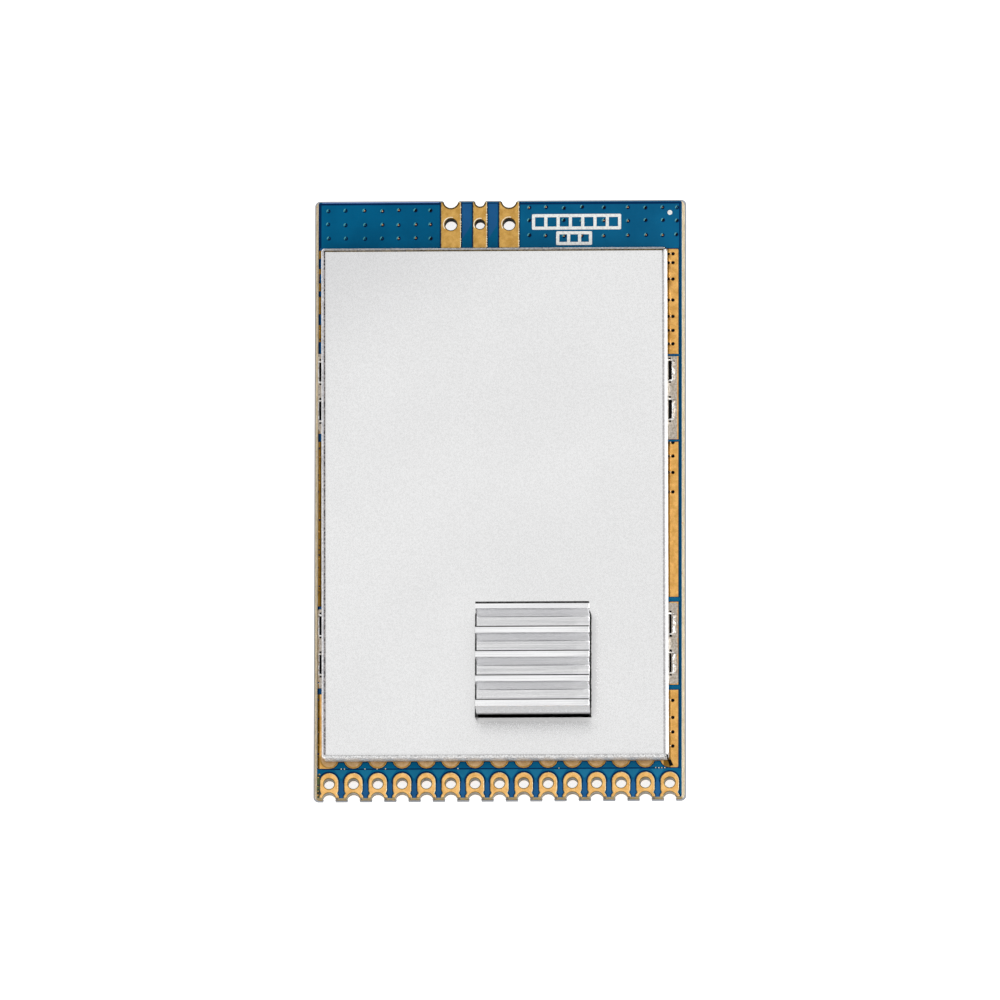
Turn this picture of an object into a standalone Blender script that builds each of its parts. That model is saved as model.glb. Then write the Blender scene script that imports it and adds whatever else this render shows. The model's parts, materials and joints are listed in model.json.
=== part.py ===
"""Radio module: a castellated circuit board with a folded shield can and a small finned heatsink.

Metres, +Z up. The origin is the middle of the underside. +Y points to the antenna edge, -Y to the pad row.
"""

import math

import bmesh
import bpy
from mathutils import Matrix, Vector
from mathutils.geometry import delaunay_2d_cdt

# Pad row along the -Y edge. The board is as wide as the row and its end margins.
PAD_COUNT = 15
PAD_PITCH = 0.0020
ROW_END_MARGIN = 0.0012
PAD_WIDTH = 0.0015
PAD_EDGE_WIDTH = 0.0016
PAD_HOLE_DIAMETER = 0.0010
PAD_HOLE_FROM_EDGE = 0.0012
PAD_LAND_BEYOND_HOLE = 0.0009
PAD_NOTCH_RADIUS = 0.00055
PAD_NOTCH_DEPTH = 0.00045

# Antenna pads on the +Y edge: ground, feed, ground
ANTENNA_PITCH = 0.0024
ANTENNA_FEED_FROM_CENTRE = 0.00167
ANTENNA_HOLE_FROM_EDGE = 0.0019
GROUND_PAD_WIDTH = 0.00164
GROUND_HOLE_DIAMETER = 0.0011
GROUND_NOTCH_RADIUS = 0.00060
FEED_PAD_WIDTH = 0.00115
FEED_HOLE_DIAMETER = 0.00088
FEED_NOTCH_RADIUS = 0.00039
ANTENNA_NOTCH_DEPTH = 0.0005

# Board and its skins
CORE_THICKNESS = 0.00106
SKIN_THICKNESS = 0.00006
PLATING_THICKNESS = 0.00005
CORNER_RADIUS = 0.0003
VCUT_WIDTH = 0.00025
VCUT_DEPTH = 0.0004
MASK_CLEARANCE = 0.00005

# Shield can: the board is as long as the can and the two edge strips
CAN_LENGTH = 0.0428
CAN_HEIGHT = 0.0016
CAN_FROM_PAD_EDGE = 0.00304
CAN_FROM_ANTENNA_EDGE = 0.00416
CAN_FROM_LEFT_EDGE = 0.00058
CAN_FROM_RIGHT_EDGE = 0.00132
SHEET_THICKNESS = 0.0002
BEND_RADIUS = 0.00026
LEG_WIDTH = 0.0013
LEG_REACH = 0.0010
LEG_SPACING = 0.00327
LEG_PAIR_FROM_ANTENNA_END = 0.01174
LEG_PAIR_FROM_PAD_END = 0.00979
SLOT_OUTER_CLEARANCE = 0.00022
SLOT_INNER_CLEARANCE = 0.00005
SLOT_END_CLEARANCE = 0.0002
SLOT_CORNER_RADIUS = 0.0002

# Ground ring under the can's walls
RING_THICKNESS = 0.000035
RING_LEFT_REACH = 0.00033
RING_RIGHT_REACH = 0.00082
RING_ANTENNA_REACH = 0.00012
RING_INNER_REACH = 0.0008
RING_CORNER_RADIUS = 0.00012
SCALLOP_RADIUS = 0.00078
SCALLOP_INSET = 0.00021
MASK_DAM_WIDTH = 0.0003

# Solder along the legs
SOLDER_LENGTH = 0.0066
SOLDER_RISE = 0.00022
SOLDER_TOE = 0.00004
SOLDER_EDGE_INSET = 0.00003

# Heatsink and the adhesive under it
FIN_COUNT = 5
FIN_PITCH = 0.00203
FIN_HEIGHT = 0.0035
FIN_TIP_THICKNESS = 0.00042
FIN_ROOT_THICKNESS = 0.00050
FIN_FILLET_RADIUS = 0.00012
HEATSINK_OVERHANG = 0.000175
HEATSINK_BASE_THICKNESS = 0.0015
HEATSINK_FROM_RIGHT_WALL = 0.01097
HEATSINK_FROM_PAD_END = 0.00762
ADHESIVE_THICKNESS = 0.0003
ADHESIVE_COLLAR = 0.00008
ADHESIVE_CORNER_RADIUS = 0.00012
ADHESIVE_RISE = 0.00135

# Parts soldered under the can: sides along X and Y, then height
BASEBAND_SIZE = (0.0090, 0.0090, 0.00085)
MICROCONTROLLER_SIZE = (0.0070, 0.0070, 0.0009)
TRANSCEIVER_SIZE = (0.0050, 0.0050, 0.00085)
POWER_AMPLIFIER_SIZE = (0.0040, 0.0040, 0.0009)
SMALL_AMPLIFIER_SIZE = (0.0020, 0.0020, 0.0006)
REGULATOR_SIZE = (0.0030, 0.0030, 0.00075)
LIDDED_SIZE = (0.0032, 0.0025, 0.0009)
INDUCTOR_SIZE = (0.0030, 0.0030, 0.0012)
CAPACITOR_SIZE = (0.0016, 0.0008, 0.0008)
RESISTOR_SIZE = (0.0016, 0.0008, 0.00045)
THERMAL_PAD_INSET = 0.0005
CHIP_EDGE = 0.00006
INDUCTOR_EDGE = 0.00012
INDUCTOR_TERMINAL_WIDTH = 0.0015
INDUCTOR_TERMINAL_HEIGHT = 0.0006
PIN_MARK_DIAMETER = 0.0005
PIN_MARK_DEPTH = 0.00006
PIN_MARK_FROM_EDGE = 0.0006
LID_HEIGHT = 0.00025
LID_INSET = 0.0002
TERMINAL_LENGTH = 0.00035
TERMINAL_COVER = 0.00002
SOLDER_STANDOFF = 0.00003

# Places of the parts under the can: rows from the can's ends, and room between neighbours
TRANSCEIVERS_FROM_ANTENNA_END = 0.0172
SWITCH_FROM_ANTENNA_END = 0.0038
PASSIVE_CLEARANCE = 0.0008
CHIP_CLEARANCE = 0.0016
RADIO_CLEARANCE = 0.0026
CAPACITOR_PITCH = 0.0018
RESISTOR_PITCH = 0.0026

# Clearances between pieces, and how far a cutter passes what it cuts
SEAT_GAP = 0.00001
LAND_CLEARANCE = 0.00016
OVERCUT = 0.0005

# Facets
HOLE_SIDES = 12
MARK_SIDES = 8
ARC_STEPS = 3
SMALL_ARC_STEPS = 2
MERGE_DISTANCE = 0.00000001
SMOOTH_ANGLE = math.radians(32)

# Heights
CORE_BOTTOM = SKIN_THICKNESS + SEAT_GAP
CORE_TOP = CORE_BOTTOM + CORE_THICKNESS
SKIN_BOTTOM = CORE_TOP + SEAT_GAP
BOARD_TOP = SKIN_BOTTOM + SKIN_THICKNESS
RING_TOP = SKIN_BOTTOM + RING_THICKNESS
CAN_RIM = BOARD_TOP + SEAT_GAP
CAN_TOP = CAN_RIM + CAN_HEIGHT
CAN_INNER_TOP = CAN_TOP - SHEET_THICKNESS
PARTS_BOTTOM = BOARD_TOP + SOLDER_STANDOFF
ADHESIVE_BOTTOM = CAN_TOP + SEAT_GAP
HEATSINK_BOTTOM = ADHESIVE_BOTTOM + ADHESIVE_THICKNESS + SEAT_GAP

# Board edges, and the can's outer faces
BOARD_RIGHT = (PAD_COUNT - 1) * PAD_PITCH / 2 + ROW_END_MARGIN
BOARD_LENGTH = CAN_FROM_PAD_EDGE + CAN_LENGTH + CAN_FROM_ANTENNA_EDGE
ANTENNA_EDGE = BOARD_LENGTH / 2
PAD_EDGE = -BOARD_LENGTH / 2
CAN_LEFT = -BOARD_RIGHT + CAN_FROM_LEFT_EDGE
CAN_RIGHT = BOARD_RIGHT - CAN_FROM_RIGHT_EDGE
CAN_PAD_END = PAD_EDGE + CAN_FROM_PAD_EDGE
CAN_ANTENNA_END = ANTENNA_EDGE - CAN_FROM_ANTENNA_EDGE
CAN_MIDDLE_X = (CAN_LEFT + CAN_RIGHT) / 2
CAN_MIDDLE_Y = (CAN_PAD_END + CAN_ANTENNA_END) / 2

PAD_CENTRES = [(index - (PAD_COUNT - 1) / 2) * PAD_PITCH for index in range(PAD_COUNT)]
LEG_PAIR_CENTRES = (CAN_ANTENNA_END - LEG_PAIR_FROM_ANTENNA_END, CAN_PAD_END + LEG_PAIR_FROM_PAD_END)
LEG_CENTRES = [pair + side * LEG_SPACING / 2 for pair in LEG_PAIR_CENTRES for side in (1, -1)]
HEATSINK_X = CAN_RIGHT - HEATSINK_FROM_RIGHT_WALL
HEATSINK_Y = CAN_PAD_END + HEATSINK_FROM_PAD_END
HEATSINK_LENGTH = (FIN_COUNT - 1) * FIN_PITCH + FIN_ROOT_THICKNESS
FIN_LENGTH = BASEBAND_SIZE[0] + 2 * HEATSINK_OVERHANG

# Colour, roughness and metallic value of each material
FINISHES = {
    "fibreglass": ((0.72, 0.58, 0.38), 0.60, 0.0),
    "blue_mask": ((0.010, 0.095, 0.200), 0.35, 0.0),
    "gold": ((0.80, 0.45, 0.12), 0.35, 1.0),
    "nickel_silver": ((0.78, 0.78, 0.77), 0.45, 1.0),
    "solder": ((0.62, 0.60, 0.58), 0.30, 1.0),
    "aluminium": ((0.82, 0.82, 0.83), 0.40, 1.0),
    "black_adhesive": ((0.012, 0.012, 0.012), 0.60, 0.0),
    "thermal_pad": ((0.45, 0.50, 0.55), 0.80, 0.0),
    "moulded_black": ((0.020, 0.020, 0.022), 0.50, 0.0),
    "ceramic": ((0.45, 0.33, 0.22), 0.50, 0.0),
    "lidded_ceramic": ((0.70, 0.68, 0.62), 0.35, 0.6),
    "ferrite": ((0.10, 0.10, 0.11), 0.60, 0.0),
}


# Scene, materials and objects

def clear_scene():
    for old in list(bpy.data.objects):
        bpy.data.objects.remove(old)


def new_collection(name):
    made = bpy.data.collections.new(name)
    bpy.context.scene.collection.children.link(made)
    return made


def new_material(name):
    colour, roughness, metallic = FINISHES[name]
    made = bpy.data.materials.new(name)
    made.use_nodes = True
    shader = made.node_tree.nodes["Principled BSDF"]
    shader.inputs["Base Color"].default_value = (*colour, 1.0)
    shader.inputs["Roughness"].default_value = roughness
    shader.inputs["Metallic"].default_value = metallic
    return made


def add_object(name, mesh, collection, finish=None):
    """Puts a mesh in a collection as an object, with its finish."""
    made = bpy.data.objects.new(name, mesh)
    collection.objects.link(made)
    if finish and not mesh.materials:
        mesh.materials.append(MATERIALS[finish])
    return made


def add_cutter(name, mesh):
    made = add_object(name, mesh, CUTTERS)
    made.hide_render = True
    made.display_type = "WIRE"
    return made


def combine(target, operation, *others):
    """Booleans on the target, in the order that the other objects are given."""
    for other in others:
        modifier = target.modifiers.new(other.name, "BOOLEAN")
        modifier.operation = operation
        modifier.object = other


def baked_mesh(target, *helpers):
    """The target's mesh with its modifiers applied. The target and its helpers are removed."""
    bpy.context.view_layer.update()
    mesh = bpy.data.meshes.new_from_object(target.evaluated_get(bpy.context.evaluated_depsgraph_get()))
    for used in (target, *helpers):
        bpy.data.objects.remove(used)
    return mesh


def smooth(mesh):
    mesh.shade_smooth()
    mesh.set_sharp_from_angle(angle=SMOOTH_ANGLE)
    return mesh


# Outlines: lists of (x, y)

def arc(x, y, radius, start, end, steps=ARC_STEPS):
    """Points on an arc from one angle to another, in degrees."""
    angles = [math.radians(start + (end - start) * step / steps) for step in range(steps + 1)]
    return [(x + radius * math.cos(angle), y + radius * math.sin(angle)) for angle in angles]


def circle(x, y, radius):
    return arc(x, y, radius, 0, 360, HOLE_SIDES)[:-1]


def rounded_rectangle(left, right, bottom, top, radius, steps=ARC_STEPS):
    return (
        arc(right - radius, top - radius, radius, 0, 90, steps)
        + arc(left + radius, top - radius, radius, 90, 180, steps)
        + arc(left + radius, bottom + radius, radius, 180, 270, steps)
        + arc(right - radius, bottom + radius, radius, 270, 360, steps)
    )


def anticlockwise(outline):
    """The same closed outline, turned round if it runs clockwise."""
    doubled_area = 0.0
    for (x, y), (next_x, next_y) in zip(outline, outline[1:] + outline[:1]):
        doubled_area += x * next_y - next_x * y
    return outline if doubled_area > 0 else outline[::-1]


def notch_arc(x, edge, inward, radius, depth):
    """A half hole in a board edge, from left to right. Inward is 1 on the pad edge and -1 on the other."""
    out = radius - depth
    span = math.degrees(math.acos(out / radius))
    points = arc(x, 0, radius, 90 + span, 90 - span, HOLE_SIDES // 2)
    return [(px, edge + inward * (py - out)) for px, py in points]


def land_path(x, edge, inward, width, edge_width, length, corner, grow=0.0):
    """A land's sides and inner end, from left to right, open at the board edge."""
    half = width / 2 + grow
    top = length + grow
    radius = min(corner + grow, half)
    path = [(x - edge_width / 2 - grow, edge)]
    path += [(px, edge + inward * py) for px, py in arc(x - half + radius, top - radius, radius, 180, 90)]
    path += [(px, edge + inward * py) for px, py in arc(x + half - radius, top - radius, radius, 90, 0)]
    path.append((x + edge_width / 2 + grow, edge))
    return path


def board_outline(side_inset, pad_bites, antenna_bites):
    """The board's edge, with what each bite takes from the short edges, given from left to right."""
    right = BOARD_RIGHT - side_inset
    radius = CORNER_RADIUS
    outline = arc(-right + radius, PAD_EDGE + radius, radius, 180, 270)
    for bite in pad_bites:
        outline += bite
    outline += arc(right - radius, PAD_EDGE + radius, radius, 270, 360)
    outline += arc(right - radius, ANTENNA_EDGE - radius, radius, 0, 90)
    for bite in reversed(antenna_bites):
        outline += reversed(bite)
    outline += arc(-right + radius, ANTENNA_EDGE - radius, radius, 90, 180)
    return outline


# Solids

def plate(outlines, bottom, top):
    """A flat solid. The first outline is its edge and the others are holes."""
    rings = []
    points = []
    for outline in outlines:
        rings.append(list(range(len(points), len(points) + len(outline))))
        points += [Vector(point) for point in anticlockwise(outline)]
    corners, _, triangles, _, _, inside = delaunay_2d_cdt(points, [], rings, 1, MERGE_DISTANCE)
    kept = [triangle for triangle, outlined in zip(triangles, inside) if list(outlined) == [0]]
    shape = bmesh.new()
    low = [shape.verts.new((x, y, bottom)) for x, y in corners]
    high = [shape.verts.new((x, y, top)) for x, y in corners]
    for triangle in kept:
        shape.faces.new([low[index] for index in reversed(triangle)])
        shape.faces.new([high[index] for index in triangle])
    for here, there in rim_edges(kept):
        shape.faces.new((low[here], low[there], high[there], high[here]))
    mesh = bpy.data.meshes.new("plate")
    shape.to_mesh(mesh)
    shape.free()
    return mesh


def rim_edges(triangles):
    """The edges that only one triangle has, each in the direction that it has them."""
    edges = [(triangle[corner - 1], triangle[corner]) for triangle in triangles for corner in range(3)]
    known = set(edges)
    return [(here, there) for here, there in edges if (there, here) not in known]


def bar_along_x(profile, start, end):
    """A profile of (y, z) points, drawn out along X."""
    mesh = plate([profile], start, end)
    mesh.transform(Matrix(((0, 0, 1, 0), (1, 0, 0, 0), (0, 1, 0, 0), (0, 0, 0, 1))))
    return mesh


def bar_along_y(profile, start, end):
    """A profile of (x, z) points, drawn out along Y."""
    mesh = plate([profile], -end, -start)
    mesh.transform(Matrix(((1, 0, 0, 0), (0, 0, -1, 0), (0, 1, 0, 0), (0, 0, 0, 1))))
    return mesh


def add_box(shape, left, right, near, far, bottom, top):
    """Adds a box to an open bmesh."""
    middle = Matrix.Translation(((left + right) / 2, (near + far) / 2, (bottom + top) / 2))
    size = Matrix.Diagonal((right - left, far - near, top - bottom, 1.0))
    bmesh.ops.create_cube(shape, size=1.0, matrix=middle @ size)


def boxes(*limits):
    """One mesh of boxes, each given as left, right, near, far, bottom, top."""
    shape = bmesh.new()
    for each in limits:
        add_box(shape, *each)
    mesh = bpy.data.meshes.new("boxes")
    shape.to_mesh(mesh)
    shape.free()
    return mesh


def cylinders(*rods, sides=HOLE_SIDES):
    """One mesh of upright cylinders, each given as x, y, radius, bottom, top."""
    shape = bmesh.new()
    for x, y, radius, bottom, top in rods:
        bmesh.ops.create_cone(
            shape,
            cap_ends=True,
            segments=sides,
            radius1=radius,
            radius2=radius,
            depth=top - bottom,
            matrix=Matrix.Translation((x, y, (bottom + top) / 2)),
        )
    mesh = bpy.data.meshes.new("cylinders")
    shape.to_mesh(mesh)
    shape.free()
    return mesh


# Sizes of a pad, gathered so that the pad, the core and the mask all read the same ones

class Pad:
    """Land is its width, width at the edge, length and corner; hole and notch are pairs of sizes."""

    def __init__(self, x, edge, inward, land, hole, notch):
        diameter, from_edge = hole
        self.x = x
        self.edge = edge
        self.inward = inward
        self.land = land
        self.hole_radius = diameter / 2
        self.hole_y = edge + inward * from_edge
        self.notch_radius, self.notch_depth = notch

    def drilled_hole(self):
        """The hole in the core: the plated hole, its plating and a gap."""
        return circle(self.x, self.hole_y, self.hole_radius + PLATING_THICKNESS + SEAT_GAP)

    def drilled_notch(self):
        grow = PLATING_THICKNESS + SEAT_GAP
        return notch_arc(
            self.x, self.edge, self.inward, self.notch_radius + grow, self.notch_depth + grow
        )

    def mask_bite(self):
        return land_path(self.x, self.edge, self.inward, *self.land, grow=MASK_CLEARANCE)

    def mesh(self):
        """Two lands, a plated hole and a plated half hole, about the pad's own centre line."""
        outline = land_path(0.0, self.edge, self.inward, *self.land)
        lands = [
            add_cutter("land", plate([outline], bottom, bottom + SKIN_THICKNESS))
            for bottom in (0.0, SKIN_BOTTOM)
        ]
        notch_y = self.edge - self.inward * (self.notch_radius - self.notch_depth)
        low = SKIN_THICKNESS / 2
        high = BOARD_TOP - SKIN_THICKNESS / 2
        barrel_radius = self.hole_radius + PLATING_THICKNESS
        half_radius = self.notch_radius + PLATING_THICKNESS
        barrel = add_cutter("barrel", cylinders((0.0, self.hole_y, barrel_radius, low, high)))
        half_barrel = add_cutter("half_barrel", cylinders((0.0, notch_y, half_radius, low, high)))
        bores = add_cutter(
            "bores",
            cylinders(
                (0.0, self.hole_y, self.hole_radius, -OVERCUT, BOARD_TOP + OVERCUT),
                (0.0, notch_y, self.notch_radius, -OVERCUT, BOARD_TOP + OVERCUT),
            ),
        )
        far = (self.edge, self.edge - self.inward * 4 * half_radius)
        outside = add_cutter(
            "outside",
            boxes((-2 * half_radius, 2 * half_radius, min(far), max(far), -OVERCUT, BOARD_TOP + OVERCUT)),
        )
        combine(lands[0], "UNION", lands[1], barrel, half_barrel)
        combine(lands[0], "DIFFERENCE", outside, bores)
        return smooth(baked_mesh(lands[0], lands[1], barrel, half_barrel, outside, bores))


def row_pad(x):
    length = PAD_HOLE_FROM_EDGE + PAD_LAND_BEYOND_HOLE
    land = (PAD_WIDTH, PAD_EDGE_WIDTH, length, PAD_WIDTH / 2)
    hole = (PAD_HOLE_DIAMETER, PAD_HOLE_FROM_EDGE)
    return Pad(x, PAD_EDGE, 1, land, hole, (PAD_NOTCH_RADIUS, PAD_NOTCH_DEPTH))


def antenna_pad(x, width, diameter, notch_radius):
    length = CAN_FROM_ANTENNA_EDGE - RING_ANTENNA_REACH - LAND_CLEARANCE
    land = (width, width, length, RING_CORNER_RADIUS)
    hole = (diameter, ANTENNA_HOLE_FROM_EDGE)
    return Pad(x, ANTENNA_EDGE, -1, land, hole, (notch_radius, min(ANTENNA_NOTCH_DEPTH, notch_radius)))


def ground_pad(x):
    return antenna_pad(x, GROUND_PAD_WIDTH, GROUND_HOLE_DIAMETER, GROUND_NOTCH_RADIUS)


ROW_PADS = [row_pad(x) for x in PAD_CENTRES]
FEED_X = -ANTENNA_FEED_FROM_CENTRE
ANTENNA_PADS = {
    "antenna_ground_pad_left": ground_pad(FEED_X - ANTENNA_PITCH),
    "antenna_feed_pad": antenna_pad(FEED_X, FEED_PAD_WIDTH, FEED_HOLE_DIAMETER, FEED_NOTCH_RADIUS),
    "antenna_ground_pad_right": ground_pad(FEED_X + ANTENNA_PITCH),
}
ALL_PADS = ROW_PADS + list(ANTENNA_PADS.values())


# Leg slots, as the core, the ring and the mask need them

def slot_outline(wall, outward, y, grow=0.0):
    """The slot for one leg. Wall is the can's outer face there, and outward is 1 on the right."""
    outer = wall + outward * (SLOT_OUTER_CLEARANCE + grow)
    inner = wall - outward * (SHEET_THICKNESS + SLOT_INNER_CLEARANCE + grow)
    half = LEG_WIDTH / 2 + SLOT_END_CLEARANCE + grow
    sides = (min(outer, inner), max(outer, inner), y - half, y + half)
    return rounded_rectangle(*sides, SLOT_CORNER_RADIUS, SMALL_ARC_STEPS)


def slots(grow=0.0):
    sides = ((CAN_LEFT, -1), (CAN_RIGHT, 1))
    return [slot_outline(wall, outward, y, grow) for wall, outward in sides for y in LEG_CENTRES]


# Circuit board

def circuit_board():
    """The fibreglass core, with V-cut long sides, drilled holes, half holes and leg slots."""
    outline = board_outline(
        0.0,
        [pad.drilled_notch() for pad in ROW_PADS],
        [pad.drilled_notch() for pad in ANTENNA_PADS.values()],
    )
    holes = [pad.drilled_hole() for pad in ALL_PADS]
    mesh = smooth(plate([outline, *holes, *slots()], CORE_BOTTOM, CORE_TOP))
    core = add_object("circuit_board", mesh, PARTS, "fibreglass")
    for side, outward in (("left", -1), ("right", 1)):
        for face, height, up in (("top", CORE_TOP, 1), ("bottom", CORE_BOTTOM, -1)):
            cutter = add_cutter(f"vcut_{side}_{face}", vcut_wedge(outward, height, up))
            combine(core, "DIFFERENCE", cutter)


def vcut_wedge(outward, height, up):
    """A wedge along one long edge, whose sloping face is the score's flank."""
    rise = OVERCUT * VCUT_DEPTH / VCUT_WIDTH
    inner = outward * (BOARD_RIGHT - VCUT_WIDTH - OVERCUT)
    outer = outward * (BOARD_RIGHT + OVERCUT)
    high = height + up * rise
    low = height - up * (VCUT_DEPTH + rise)
    section = [(inner, high), (outer, high), (outer, low)]
    return bar_along_y(section, PAD_EDGE - OVERCUT, ANTENNA_EDGE + OVERCUT)


# Ground ring

def ring_outer(grow=0.0):
    """The ring's outer edge: straight along the antenna end and sides, scalloped behind the pads."""
    left = CAN_LEFT - RING_LEFT_REACH - grow
    right = CAN_RIGHT + RING_RIGHT_REACH + grow
    top = CAN_ANTENNA_END + RING_ANTENNA_REACH + grow
    straight = CAN_PAD_END - grow
    centre = CAN_PAD_END + SCALLOP_INSET
    radius = SCALLOP_RADIUS + grow
    corner = RING_CORNER_RADIUS
    bottom = centre - radius
    dip = math.degrees(math.asin((centre - straight) / radius))
    outline = arc(left + corner, bottom + corner, corner, 180, 270)
    outline += arc(PAD_CENTRES[0], centre, radius, 270, 360 - dip)
    for x in PAD_CENTRES[1:-1]:
        outline += arc(x, centre, radius, 180 + dip, 360 - dip, HOLE_SIDES // 2)
    outline += arc(PAD_CENTRES[-1], centre, radius, 180 + dip, 270)
    outline += arc(right - corner, bottom + corner, corner, 270, 360)
    outline += arc(right - corner, top - corner, corner, 0, 90)
    outline += arc(left + corner, top - corner, corner, 90, 180)
    return outline


def ring_inner(grow=0.0):
    inset = SHEET_THICKNESS + RING_INNER_REACH + grow
    return rounded_rectangle(
        CAN_LEFT + inset, CAN_RIGHT - inset, CAN_PAD_END + inset, CAN_ANTENNA_END - inset, RING_CORNER_RADIUS
    )


def shield_ground_ring():
    mesh = plate([ring_outer(), ring_inner(), *slots()], SKIN_BOTTOM, RING_TOP)
    add_object("shield_ground_ring", mesh, PARTS, "gold")


# Solder mask

def solder_mask_top():
    """The upper film: open at the pads and the ring, and bridging the ring at each solder zone's ends."""
    outline = board_outline(
        VCUT_WIDTH,
        [pad.mask_bite() for pad in ROW_PADS],
        [pad.mask_bite() for pad in ANTENNA_PADS.values()],
    )
    film = add_object("solder_mask_top", plate([outline], SKIN_BOTTOM, BOARD_TOP), PARTS, "blue_mask")
    under = [ring_outer(MASK_CLEARANCE / 2), ring_inner(MASK_CLEARANCE / 2)]
    around = [ring_outer(MASK_CLEARANCE), ring_inner(MASK_CLEARANCE)]
    trench = add_cutter("ring_trench", plate(under, SKIN_BOTTOM - OVERCUT, RING_TOP + SEAT_GAP))
    window = add_cutter("ring_window", plate(around, SKIN_BOTTOM - 2 * OVERCUT, BOARD_TOP + OVERCUT))
    dams = add_cutter("mask_dams", boxes(*dam_limits()))
    combine(window, "DIFFERENCE", dams)
    combine(film, "DIFFERENCE", trench, window)


def dam_limits():
    """The stretches of film left over the ring, at both ends of each solder zone."""
    limits = []
    sides = (
        (CAN_LEFT - RING_LEFT_REACH, CAN_LEFT + RING_INNER_REACH),
        (CAN_RIGHT - RING_INNER_REACH, CAN_RIGHT + RING_RIGHT_REACH),
    )
    for left, right in sides:
        for pair in LEG_PAIR_CENTRES:
            for end in (1, -1):
                y = pair + end * (SOLDER_LENGTH + MASK_DAM_WIDTH) / 2
                near = y - MASK_DAM_WIDTH / 2
                limits.append(
                    (
                        left - OVERCUT,
                        right + OVERCUT,
                        near,
                        near + MASK_DAM_WIDTH,
                        SKIN_BOTTOM - 3 * OVERCUT,
                        BOARD_TOP + 2 * OVERCUT,
                    )
                )
    return limits


def solder_mask_bottom():
    outline = board_outline(
        VCUT_WIDTH,
        [pad.mask_bite() for pad in ROW_PADS],
        [pad.mask_bite() for pad in ANTENNA_PADS.values()],
    )
    mesh = plate([outline, *slots(MASK_CLEARANCE)], 0.0, SKIN_THICKNESS)
    add_object("solder_mask_bottom", mesh, PARTS, "blue_mask")


# Pads

def castellated_pads():
    mesh = ROW_PADS[0].mesh()
    for number, pad in enumerate(ROW_PADS, 1):
        placed = add_object(f"pad_{number:02d}", mesh, PARTS, "gold")
        placed.location.x = pad.x


def antenna_pads():
    for name, pad in ANTENNA_PADS.items():
        placed = add_object(name, pad.mesh(), PARTS, "gold")
        placed.location.x = pad.x


# Shield can

def shield_can():
    """One sheet folded down on four sides. The long walls are blanked away between their legs."""
    shape = bmesh.new()
    flat_x = (CAN_RIGHT - CAN_LEFT) / 2 - BEND_RADIUS
    flat_y = CAN_LENGTH / 2 - BEND_RADIUS
    bmesh.ops.create_grid(
        shape, x_segments=1, y_segments=1, size=1.0, matrix=Matrix.Diagonal((flat_x, flat_y, 1.0, 1.0))
    )
    for edge in list(shape.edges):
        middle = (edge.verts[0].co + edge.verts[1].co) / 2
        outward = middle.normalized()
        long_side = abs(outward.x) > abs(outward.y)
        fold_down(shape, edge, outward, CAN_HEIGHT + (LEG_REACH if long_side else 0.0))
    mesh = bpy.data.meshes.new("shield_can")
    shape.to_mesh(mesh)
    shape.free()
    can = add_object("shield_can", smooth(mesh), PARTS, "nickel_silver")
    can.location = (CAN_MIDDLE_X, CAN_MIDDLE_Y, CAN_TOP)
    sheet = can.modifiers.new("sheet", "SOLIDIFY")
    sheet.thickness = SHEET_THICKNESS
    sheet.offset = -1.0
    sheet.use_even_offset = True
    blanked = add_cutter("blanked_between_legs", boxes(*leg_gap_limits()))
    combine(can, "DIFFERENCE", blanked)


def fold_down(shape, edge, outward, depth):
    """Bends one edge of the flat sheet through a right angle, then carries it straight down."""
    start = [vert.co.copy() for vert in edge.verts]
    steps = [(BEND_RADIUS * math.sin(angle), BEND_RADIUS * (1 - math.cos(angle))) for angle in bend_angles()]
    steps.append((BEND_RADIUS, depth))
    for out, down in steps:
        grown = bmesh.ops.extrude_edge_only(shape, edges=[edge])["geom"]
        edge = next(item for item in grown if isinstance(item, bmesh.types.BMEdge))
        for vert in edge.verts:
            origin = min(start, key=lambda point: (point - vert.co).length)
            vert.co = origin + outward * out
            vert.co.z = origin.z - down


def bend_angles():
    """The steps of a quarter turn, after its start."""
    return [math.radians(90 * step / ARC_STEPS) for step in range(1, ARC_STEPS + 1)]


def leg_gap_limits():
    """What is blanked away below the rim on both long walls, beside and between the legs."""
    stops = [CAN_PAD_END - OVERCUT]
    for y in sorted(LEG_CENTRES):
        stops += [y - LEG_WIDTH / 2, y + LEG_WIDTH / 2]
    stops.append(CAN_ANTENNA_END + OVERCUT)
    inner = SHEET_THICKNESS + SEAT_GAP
    limits = []
    for near, far in zip(stops[::2], stops[1::2]):
        for left, right in ((CAN_LEFT - OVERCUT, CAN_LEFT + inner), (CAN_RIGHT - inner, CAN_RIGHT + OVERCUT)):
            limits.append((left, right, near, far, CAN_RIM - LEG_REACH - OVERCUT, CAN_RIM))
    return limits


# Solder along the legs

def solder_joints():
    """A low fillet on the ring along each pair of legs, open where the leg slots are."""
    for side, wall, outward, reach in (
        ("left", CAN_LEFT, -1, RING_LEFT_REACH),
        ("right", CAN_RIGHT, 1, RING_RIGHT_REACH),
    ):
        for number, y in enumerate(LEG_PAIR_CENTRES, 1):
            profile = solder_profile(wall, outward, reach)
            mesh = bar_along_y(profile, y - SOLDER_LENGTH / 2, y + SOLDER_LENGTH / 2)
            joint = add_object(f"solder_joint_{side}_{number}", smooth(mesh), PARTS, "solder")
            for slot, leg in enumerate((y - LEG_SPACING / 2, y + LEG_SPACING / 2), 1):
                outline = slot_outline(wall, outward, leg)
                cutter = add_cutter(f"slot_{side}_{number}_{slot}", plate([outline], 0.0, CAN_TOP))
                combine(joint, "DIFFERENCE", cutter)


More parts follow.
